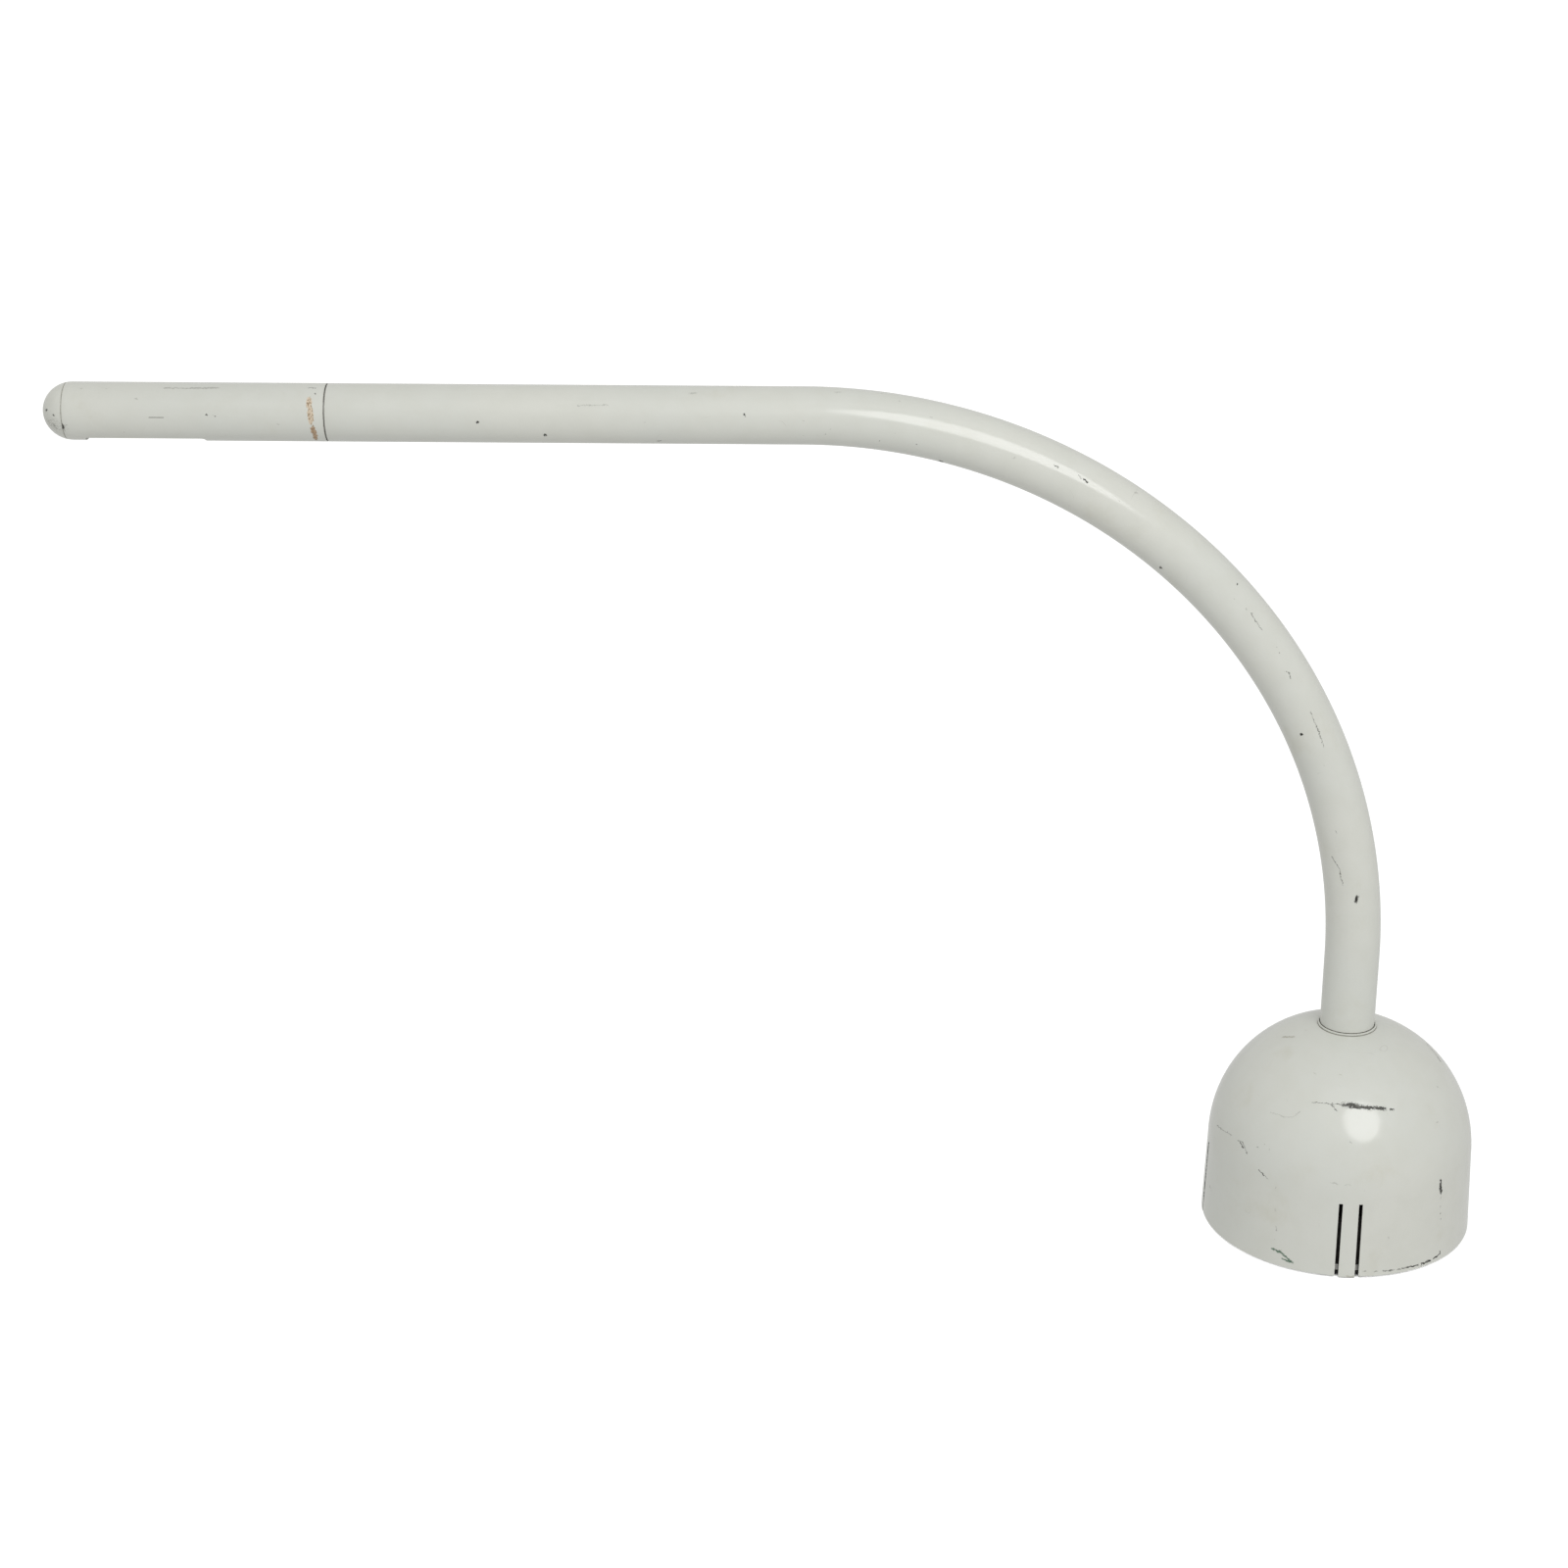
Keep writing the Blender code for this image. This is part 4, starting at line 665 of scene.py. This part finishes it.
def dome_columns():
    """Azimuths round the base with what each column of faces is: tongue, slot or wall."""
    inner = math.asin(SLOT_INNER / BASE_RADIUS)
    outer = math.asin(SLOT_OUTER / BASE_RADIUS)
    columns = []
    for quarter in range(4):
        middle = quarter * QUARTER
        spans = [(-outer, -inner, 1, "slot"), (-inner, inner, 5, "tongue"), (inner, outer, 1, "slot")]
        spans.append((outer, QUARTER - outer, 38, "wall"))
        for start, end, count, kind in spans:
            columns += [(middle + angle, kind) for angle in spread(start, end, count)[:-1]]
    return columns


def make_base_cover(material):
    """The spun dome with its four tongues, each between two sawn slots."""
    columns = dome_columns()
    wall_heights = [TONGUE_BOTTOM, SKIRT_BOTTOM, 0.006, *spread(0.0125, SLOT_TOP, 14)]
    profile = [(dome_radius_at(height), height) for height in wall_heights] + dome_curve()
    slot_row = len(wall_heights) - 1
    shape = bmesh.new()
    grid = {}

    def corner(row, column):
        key = (row, column % len(columns))
        if key not in grid:
            radius, height = profile[row]
            angle = columns[key[1]][0]
            grid[key] = shape.verts.new((radius * math.cos(angle), radius * math.sin(angle), height))
        return grid[key]

    for row in range(len(profile) - 1):
        for column, (_, kind) in enumerate(columns):
            if (kind == "slot" and row < slot_row) or (kind != "tongue" and row == 0):
                continue
            corners = [(row, column), (row, column + 1), (row + 1, column + 1), (row + 1, column)]
            shape.faces.new([corner(*place) for place in corners])
    cover = add_object("base_cover", mesh_from("base_cover", shape))
    modify(cover, "SOLIDIFY", thickness=SHELL_WALL, offset=-1, use_even_offset=True)
    cover.data.set_sharp_from_angle(angle=SMOOTH_BELOW)
    outward = Vector((math.cos(INLET_AZIMUTH), math.sin(INLET_AZIMUTH), 0))
    start = outward * (BASE_RADIUS - 0.015) + Vector((0, 0, INLET_HEIGHT))
    cut(cover, [rod(INLET_HOLE_RADIUS, start, outward, 0.03)])
    soften(cover, 0.35 * MM)
    cover.data.transform(BASE_FRAME)
    piece(cover, "base", "enamel", material, "base_shell")
    make_clips(material)


def make_clips(material):
    """The small ledges inside each tongue that grip the plate above and below."""
    plate_low, plate_high = (corner.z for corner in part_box("base_plate"))
    shape = bmesh.new()
    for quarter in range(4):
        turn = BASE_FRAME @ Matrix.Rotation(quarter * QUARTER, 4, "Z")
        for low, high in ((0.0028, plate_low - CLEAR), (plate_high + CLEAR, plate_high + 0.0027)):
            size = Vector((0.0085, 0.01, high - low))
            centre = Vector((0.1438, 0, (low + high) / 2))
            block = bmesh.ops.create_cube(shape, size=1)["verts"]
            place = turn @ Matrix.Translation(centre) @ Matrix.Diagonal((*size, 1))
            bmesh.ops.transform(shape, matrix=place, verts=block)
    clips = add_object("tongue_clips", mesh_from("tongue_clips", shape))
    soften(clips, 0.3 * MM)
    clips.data.materials.append(material)
    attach(clips, "base")


def make_neck_ring(material):
    """The collar in the dome's hole, with a thin lip on the dome."""
    bore = TUBE_RADIUS + 0.0004
    lip = 0.0324
    spigot = NECK_HOLE_RADIUS - CLEAR
    bottom, top = (corner.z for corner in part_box("neck_ring"))
    seat = bottom + 0.009
    outline = [(bore, top), (lip, top), (lip, seat), (spigot, seat), (spigot, bottom), (bore, bottom)]
    ring = turned("neck_collar", outline, BASE_SIDES)
    soften(ring, 0.4 * MM, 3)
    piece(ring, "base", "enamel", material, "neck_ring")


def make_grommet(material):
    """The rubber ring in the cable's hole, with rounded rims."""
    half_wall = SHELL_WALL / 2 + 0.8 * MM
    half_length = half_wall + 1.5 * MM
    neck = INLET_HOLE_RADIUS - CLEAR
    rim = neck + 3 * MM
    outline = [(INLET_BORE_RADIUS, half_length), (rim, half_length), (rim, half_wall), (neck, half_wall)]
    outline += [(radius, -height) for radius, height in reversed(outline)]
    low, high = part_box("cable_grommet")
    aim = (BASE_FRAME @ Matrix.Rotation(INLET_AZIMUTH, 4, "Z")).to_3x3() @ Vector((1, 0, 0))
    place = aimed((low + high) / 2, aim)
    ring = turned("cable_grommet_ring", outline, SMALL_SIDES, place)
    soften(ring, 0.6 * MM, 3)
    piece(ring, "base", "rubber", material, "cable_grommet")


def make_plate_and_felt(materials):
    """The steel plate, countersunk for the ballast's screws, and the felt under it."""
    low, high = (corner.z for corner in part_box("base_plate"))
    radius = 0.1425
    outline = [(0, high), (radius, high), (radius, low), (0, low)]
    plate = turned("floor_plate", outline, BASE_SIDES)
    tools = []
    for screw in range(1, 5):
        screw_low, screw_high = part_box(f"ballast_screw_{screw}")
        centre = (screw_low + screw_high) / 2
        start = Vector((centre.x, centre.y, low - 0.002))
        up = (0, 0, 1)
        tools.append(rod(0.0058, start, up, 0.002 + 0.0038))
        tools.append(rod(0.0033, start, up, 0.02))
    cut(plate, tools)
    soften(plate, 0.5 * MM)
    piece(plate, "base", "steel", materials["steel"], "base_plate")
    felt_low, felt_high = (corner.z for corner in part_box("felt_pad"))
    radius = 0.138
    steps = spread(0, radius, 12)
    outline = [(step, felt_high) for step in steps] + [(radius, (felt_low + felt_high) / 2)]
    outline += [(step, felt_low) for step in reversed(steps)]
    felt = turned("felt_disc", outline, BASE_SIDES)
    soften(felt, 0.9 * MM, 3)
    for vertex in felt.data.vertices:
        angle = math.atan2(vertex.co.y, vertex.co.x)
        reach = math.hypot(vertex.co.x, vertex.co.y)
        if reach > radius - 1.5 * MM:
            pull = 1 - 0.0016 * (1 + math.sin(23 * angle) * math.sin(9 * angle + 1))
            vertex.co.x *= pull
            vertex.co.y *= pull
    piece(felt, "base", "felt", materials["felt"], "felt_pad")


# ---- arm and head

def arm_station(distance):
    """Matrix that carries a section in the XY plane to a place up the arm's centre line."""
    bend = BEND_RADIUS * QUARTER
    if distance <= RISE:
        return Matrix.Translation((0, 0, distance))
    angle = min(distance - RISE, bend) / BEND_RADIUS
    centre = Vector((-BEND_RADIUS, 0, RISE))
    turn = Matrix.Translation(centre) @ Matrix.Rotation(-angle, 4, "Y") @ Matrix.Translation(-centre)
    return turn @ Matrix.Translation((0, 0, RISE + max(distance - RISE - bend, 0)))


def rounded_end(distance, step, radius, wall):
    """Stations of a tube's end, from its outside over a small round to its inside."""
    size = 0.5 * MM
    stations = [(distance - step * size * (1 - math.sin(angle)), radius - size * (1 - math.cos(angle)))
                for angle in spread(0, QUARTER, 3)]
    return stations + [(distance, radius - wall)]


def make_arm(material, screw_material):
    """The bent tube, as one sweep along its centre line, outside and inside."""
    low_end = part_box("arm_tube")[0].z
    end = RISE + BEND_RADIUS * QUARTER + RUN - SEAM / 2
    bend_end = RISE + BEND_RADIUS * QUARTER
    outside = rounded_end(low_end, -1, TUBE_RADIUS, TUBE_WALL)[:-1][::-1]
    along = spread(low_end, RISE, 10)[1:-1] + spread(RISE, bend_end, 110) + spread(bend_end, end, 14)[1:-1]
    outside += [(distance, TUBE_RADIUS) for distance in along]
    outside += rounded_end(end, 1, TUBE_RADIUS, TUBE_WALL)[:-1]
    bore = TUBE_RADIUS - TUBE_WALL
    inside = [(distance, bore) for distance in [end, *spread(bend_end, RISE, 40), low_end]]
    rings = []
    for distance, radius in outside + inside:
        station = arm_station(distance)
        rings.append([station @ point for point in circle(radius, TUBE_SIDES)])
    arm = add_object("arm_bent_tube", skin("arm_bent_tube", rings, closed_ends=False))
    starts = [HEAD_JOINT + Vector((inset, 0.02, 0)) for inset in (0.02, 0.036)]
    tools = [rod(2.6 * MM, start, (0, 1, 0), 0.02) for start in starts]
    stop_low, stop_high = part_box("arm_stop_screw")
    stop = Vector((0.02, 0, (stop_low.z + stop_high.z) / 2))
    tools.append(rod(2.6 * MM, stop, (1, 0, 0), 0.02))
    cut(arm, tools)
    piece(arm, "arm", "enamel", material, "arm_tube")
    for name in ("coupler_screw_1", "coupler_screw_2", "arm_stop_screw"):
        make_set_screw(name, "arm", screw_material)


def make_set_screw(node, body, material):
    """A headless screw with a chamfer and a hexagon socket, in place of its CAD node."""
    low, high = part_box(node)
    size = high - low
    axis = max(range(3), key=lambda part: size[part])
    length = size[axis]
    radius = min(size) / 2
    outward = Vector([1 if part == axis else 0 for part in range(3)])
    top = (low + high) / 2 + outward * length / 2
    place = aimed(top, outward)
    chamfer = radius * 0.16
    outline = [(0, 0), (radius - chamfer, 0), (radius, -chamfer), (radius, radius - length)]
    outline += [(radius * 0.6, -length), (0, -length)]
    screw = turned(f"{node}_socket", outline, 32, place)
    corners = circle(radius * 0.56, 6)
    hexagon = [[point + Vector((0, 0, height)) for point in corners] for height in (-radius, MM)]
    cut(screw, [skin("socket", hexagon, True, place)])
    soften(screw, 0.08 * MM)
    piece(screw, body, "zinc", material, node)


def light_slot_tool():
    """A rounded rectangle pushed through the head's underside."""
    start, end = LIGHT_SLOT
    middle = (start + end) / 2
    corners = [(start, -1), (end, -1), (end, 1), (start, 1)]
    outline = []
    for corner, (distance, side) in enumerate(corners):
        centre_distance = distance + math.copysign(LIGHT_SLOT_CORNER, middle - distance)
        centre_side = side * (LIGHT_SLOT_HALF_WIDTH - LIGHT_SLOT_CORNER)
        outline += [(centre_side + LIGHT_SLOT_CORNER * math.sin(math.pi + QUARTER * part),
                     centre_distance + LIGHT_SLOT_CORNER * math.cos(math.pi + QUARTER * part))
                    for part in spread(corner, corner + 1, 8)]
    rings = [[(x, y, z) for y, z in outline] for x in (-0.045, -0.012)]
    return skin("light_slot", rings, True, HEAD_FRAME)


def make_head(material, screw_material):
    """The head's tube, open underneath, with the holes for its two screws."""
    bore = TUBE_RADIUS - TUBE_WALL
    end = CAP_SEAM - CLEAR / 2
    inner_stop = END_CENTRE - 0.004
    outline = [(bore, end), (end_radius_at(end) - 0.2 * MM, end)]
    outline += [(end_radius_at(end - 0.3 * MM), end - 0.3 * MM)]
    rounding = (0.2675, 0.2662, 0.265, 0.264, END_CENTRE)
    outline += [(end_radius_at(distance), distance) for distance in rounding]
    outline += [(TUBE_RADIUS, 0.255 - 0.012 * step) for step in range(21)]
    outline += [station[::-1] for station in rounded_end(SEAM / 2, -1, TUBE_RADIUS, TUBE_WALL)]
    outline.append((bore, inner_stop))
    head = turned("head_tube_open", outline, TUBE_SIDES, HEAD_FRAME)
    tools = [light_slot_tool()]
    for node in ("head_retaining_screw", "carrier_screw"):
        low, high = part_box(node)
        centre = (low + high) / 2
        tools.append(rod(2.2 * MM, Vector((centre.x, 0.02, centre.z)), (0, 1, 0), 0.02))
    cut(head, tools)
    soften(head, 0.3 * MM, 2, math.radians(60))
    piece(head, "head", "enamel", material, "head_tube")
    for node in ("head_retaining_screw", "carrier_screw"):
        make_set_screw(node, "head", screw_material)


def make_end_cap(material, ring_material):
    """The pull-off cap: a rounded end, a skirt that plugs into the tube and its rubber ring."""
    seam = CAP_SEAM + CLEAR / 2
    groove_low, groove_high = 0.2598, 0.2628
    skirt, groove, bore = 0.0281, 0.0269, 0.0255
    reach = HEAD_LENGTH - END_CENTRE
    start_angle = math.asin((seam + 0.4 * MM - END_CENTRE) / reach)
    outline = [(TUBE_RADIUS * math.cos(angle), END_CENTRE + reach * math.sin(angle))
               for angle in spread(QUARTER, start_angle, 24)]
    outline[0] = (0, HEAD_LENGTH)
    outline.append((outline[-1][0] - 0.2 * MM, seam))
    outline += [(skirt, seam), (skirt, groove_high), (groove, groove_high), (groove, groove_low)]
    outline += [(skirt, groove_low), (skirt, CAP_SKIRT_START), (bore, CAP_SKIRT_START)]
    outline += [(bore * math.cos(angle), END_CENTRE + (reach - 0.002) * math.sin(angle))
                for angle in spread(0, QUARTER, 12)[1:]]
    outline[-1] = (0, END_CENTRE + reach - 0.002)
    cap = turned("end_cap_round", outline, TUBE_SIDES, HEAD_FRAME)
    piece(cap, "end_cap", "enamel", material, "end_cap")
    middle = (groove_low + groove_high) / 2
    half = (groove_high - groove_low) / 2 - CLEAR
    centre = groove + CLEAR + half / 2
    ring = [(centre + 0.95 * half * math.cos(angle), middle + half * math.sin(angle))
            for angle in spread(0, 2 * math.pi, 16)[:-1]]
    ring = [(min(radius, 0.0282), height) for radius, height in ring]
    o_ring = turned("cap_seal_ring", ring, TUBE_SIDES, HEAD_FRAME)
    piece(o_ring, "end_cap", "rubber", ring_material, "cap_o_ring")


def make_reflector(material):
    """The bright liner round the bulb, rolled from thin sheet."""
    outer = TUBE_RADIUS - TUBE_WALL - CLEAR
    opening = math.radians(40)
    thickness = 0.6 * MM
    angles = spread(math.pi + opening, 3 * math.pi - opening, 72)
    section = [(outer * math.cos(angle), outer * math.sin(angle)) for angle in angles]
    inner = outer - thickness
    section += [(inner * math.cos(angle), inner * math.sin(angle)) for angle in reversed(angles)]
    start, end = LIGHT_SLOT[0] - 0.004, CAP_SKIRT_START - 0.002
    rings = [[(x, y, height) for x, y in section] for height in spread(start, end, 20)]
    liner = add_object("reflector_liner", skin("reflector_liner", rings, True, HEAD_FRAME))
    soften(liner, 0.15 * MM)
    piece(liner, "head", "aluminium", material, "reflector")


def make_lampholder(material):
    """The holder's body, with a fluted ring to grip."""
    foot = 0.0599
    flute_depth = 0.45 * MM
    outline = [(0.0178, 0.1175), (0.0195, 0.1175), (0.0195, 0.115), (0.0195, 0.114)]
    outline += [(0.0195, 0.114 - 0.0028 * step) for step in range(1, 11)]
    outline += [(0.0195, 0.0835), (0.0195, 0.082), (0.018, 0.079), (0.018, foot + 0.001), (0.017, foot)]
    outline += [(0.0053, foot), (0.0053, foot + 0.006), (0.016, foot + 0.006), (0.016, 0.0785)]
    outline.append((0.0178, 0.0795))
    body = turned("lampholder_fluted", outline, 216)
    for vertex in body.data.vertices:
        reach = math.hypot(vertex.co.x, vertex.co.y)
        if reach > 0.019 and 0.085 < vertex.co.z < 0.1135:
            wave = (1 + math.cos(36 * math.atan2(vertex.co.y, vertex.co.x))) / 2
            pull = 1 - flute_depth * wave / reach
            vertex.co.x *= pull
            vertex.co.y *= pull
    soften(body, 0.25 * MM, 2)
    body.data.transform(HEAD_FRAME)
    piece(body, "head", "bakelite", material, "lampholder_body")


def make_bulb(glass, tungsten):
    """The tubular bulb's glass, and a coiled filament on its supports."""
    cap_end, tip, radius, neck, wall = 0.118, 0.2325, 0.015, 0.0122, 0.001
    round_centre = tip - radius

    def side(inset):
        points = [(neck - inset, cap_end - 0.002), (neck - inset, cap_end + 0.002)]
        for share in spread(0, 1, 8):
            ease = (1 - math.cos(math.pi * share)) / 2
            points.append((neck + (radius - neck) * ease - inset, cap_end + 0.003 + 0.013 * share))
        points += [(radius - inset, height) for height in spread(cap_end + 0.016, round_centre, 6)[1:-1]]
        inner = radius - inset
        points += [(inner * math.cos(angle), round_centre + inner * math.sin(angle))
                   for angle in spread(0, QUARTER, 16)]
        points[-1] = (0, tip - inset)
        return points

    outline = side(0)[::-1] + side(wall)
    envelope = turned("bulb_envelope", outline, 64, HEAD_FRAME)
    piece(envelope, "head", "glass", glass, "bulb_glass")

    half = [(0.0018, 0.1463), (0.0035, 0.153), (0.007, 0.16), (0.007, 0.205), (0.004, 0.212), (0, 0.2143)]
    loop = [Vector((0, y, z)) for y, z in half] + [Vector((0, -y, z)) for y, z in reversed(half[:-1])]
    curve = bpy.data.curves.new("filament_coil", "CURVE")
    curve.dimensions = "3D"
    curve.bevel_depth = 0.12 * MM
    curve.bevel_resolution = 2
    spline = curve.splines.new("POLY")
    coil = []
    for start, end in zip(loop, loop[1:]):
        run = end - start
        coiled = run.length > 0.01 or start.z > 0.2
        count = int(run.length / (0.06 * MM)) if coiled else 2
        along = run.normalized()
        first = Vector((1, 0, 0))
        second = along.cross(first)
        for step in range(count):
            swing = first * math.cos(step * 0.55) + second * math.sin(step * 0.55)
            coil.append(start + run * step / count + swing * (0.32 * MM if coiled else 0))
    coil.append(loop[-1])
    spline.points.add(len(coil) - 1)
    for place, point in zip(spline.points, coil):
        place.co = (*(HEAD_FRAME @ point), 1)
    wire = add_object("filament_coil", curve)
    settled = bpy.data.meshes.new_from_object(wire.evaluated_get(bpy.context.evaluated_depsgraph_get()))
    bpy.data.objects.remove(wire)
    settled.shade_smooth()
    filament = add_object("filament_wire", settled)
    piece(filament, "head", "tungsten", tungsten, "filament")


# ---- stage

def make_stage():
    """A plain pale floor with painted shade under the base, a pale room, and key and fill lights from the
    camera's right.
    """
    bpy.ops.mesh.primitive_plane_add(size=80)
    floor = bpy.context.object
    floor.name = "floor"
    graph = Graph("floor_pale")
    seen = graph.node("ShaderNodeLightPath").outputs["Is Camera Ray"]
    glow = graph.node("ShaderNodeEmission", {"Color": WHITE})
    # Painted shade: ambient occlusion dims the floor's glow where the base covers it, inside the shell and
    # behind its slots
    painted_shade_occlusion = graph.node("ShaderNodeAmbientOcclusion", {"Distance": 0.03}, samples=16)
    level = graph.ease(seen, 0, 1, 0.667, WHITE_LEVEL)
    level = graph.times(level, graph.ease(painted_shade_occlusion.outputs["AO"], 0.18, 0.4, 0.01, 1))
    graph.feed(glow.inputs["Strength"], level)
    graph.feed(graph.tree.nodes["Material Output"].inputs["Surface"], glow.outputs[0])
    floor.data.materials.append(graph.owner)

    make_surround()
    add_softbox("key_softbox", elevation=39.8, size=(2.55, 2.85), power=81)
    add_softbox("fill_softbox", elevation=50, size=(6, 5), power=25)
    bpy.context.scene.view_settings.view_transform = "Standard"
    bpy.context.scene.view_settings.look = "None"


def make_surround():
    """A room, white to the camera, that lights evenly with a broad, soft swell from each of three sides."""
    world = bpy.data.worlds.new("surround")
    bpy.context.scene.world = world
    graph = Graph("surround", world)
    level = SURROUND_LEVEL
    for axis, strength in SURROUND_SWELLS:
        half = graph.times(graph.plus(graph.vector("DOT_PRODUCT", graph.place, axis), 1), 0.5)
        level = graph.plus(graph.times(graph.times(half, half), strength), level)
    seen = graph.node("ShaderNodeLightPath").outputs["Is Camera Ray"]
    level = graph.math("MAXIMUM", level, graph.times(seen, WHITE_LEVEL))
    background = graph.tree.nodes["Background"]
    graph.feed(background.inputs["Color"], WHITE)
    graph.feed(background.inputs["Strength"], level)


def add_softbox(name, elevation, size, power):
    """A soft oval light, on the camera's right, aimed at the base."""
    light = bpy.data.lights.new(name, "AREA")
    light.shape = "ELLIPSE"
    light.size, light.size_y = size
    light.energy = power
    lamp = add_object(name, light)
    turn, rise = math.radians(LIGHT_AZIMUTH), math.radians(elevation)
    away = Vector((math.sin(turn) * math.cos(rise), -math.cos(turn) * math.cos(rise), math.sin(rise)))
    lamp.matrix_world = aimed(Vector((0, 0, LIGHT_AIM_HEIGHT)) + away * LIGHT_DISTANCE, away)


def make_camera():
    """The camera: 3 m in front of the arm's middle, looking down about 20 degrees."""
    data = bpy.data.cameras.new("camera")
    data.sensor_width = 36
    data.lens = 69.08
    data.shift_x = -0.0421
    data.shift_y = -0.00715
    data.clip_end = 200
    camera = add_object("camera", data)
    yaw, pitch, roll = math.radians(-0.0268), math.radians(20.597), math.radians(0.389)
    camera.matrix_world = (Matrix.Translation((-0.55646, -3.03764, 1.67183)) @ Matrix.Rotation(yaw, 4, "Z")
                           @ Matrix.Rotation(QUARTER - pitch, 4, "X") @ Matrix.Rotation(roll, 4, "Z"))
    bpy.context.scene.camera = camera


# ---- the whole lamp

def main():
    make_camera()
    make_stage()
    materials = make_materials()
    for node in frame["nodes"].values():
        for slot in node.material_slots:
            name = slot.material.name.split(".")[0]
            if name in materials:
                slot.material = materials[name]

    collar_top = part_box("neck_ring")[1].z
    # Seams and rings with painted shade in the gap and dirt beside it: place, shade line's half width and
    # cover, dirt's half width
    joint_seam = (HEAD_JOINT.x, 0.62 * MM, 0.97, 1.6 * MM)
    cap_seam = (HEAD_JOINT.x - CAP_SEAM, 0.22 * MM, 0.6, 1.2 * MM)
    tube_ring = (TUBE_RADIUS + 0.3 * MM, collar_top, 0.5 * MM, 0.95, 1.2 * MM)
    base_rings = [(0.0324, collar_top - 2.4 * MM, 0.3 * MM, 0.6, 1.2 * MM), tube_ring]
    base_enamel = enamel("enamel_base", dome_place, DOME_MARKS, rings=base_rings)
    arm_enamel = enamel("enamel_arm", tube_place, ARM_MARKS, [joint_seam], [tube_ring])
    head_enamel = enamel("enamel_head", tube_place, HEAD_MARKS, [joint_seam, cap_seam])

    make_base_cover(base_enamel)
    make_neck_ring(base_enamel)
    make_grommet(materials["rubber"])
    make_plate_and_felt(materials)
    make_arm(arm_enamel, materials["zinc"])
    make_head(head_enamel, materials["zinc"])
    make_end_cap(head_enamel, materials["rubber"])
    make_reflector(materials["aluminium"])
    make_lampholder(materials["bakelite"])
    make_bulb(materials["glass"], materials["tungsten"])


main()
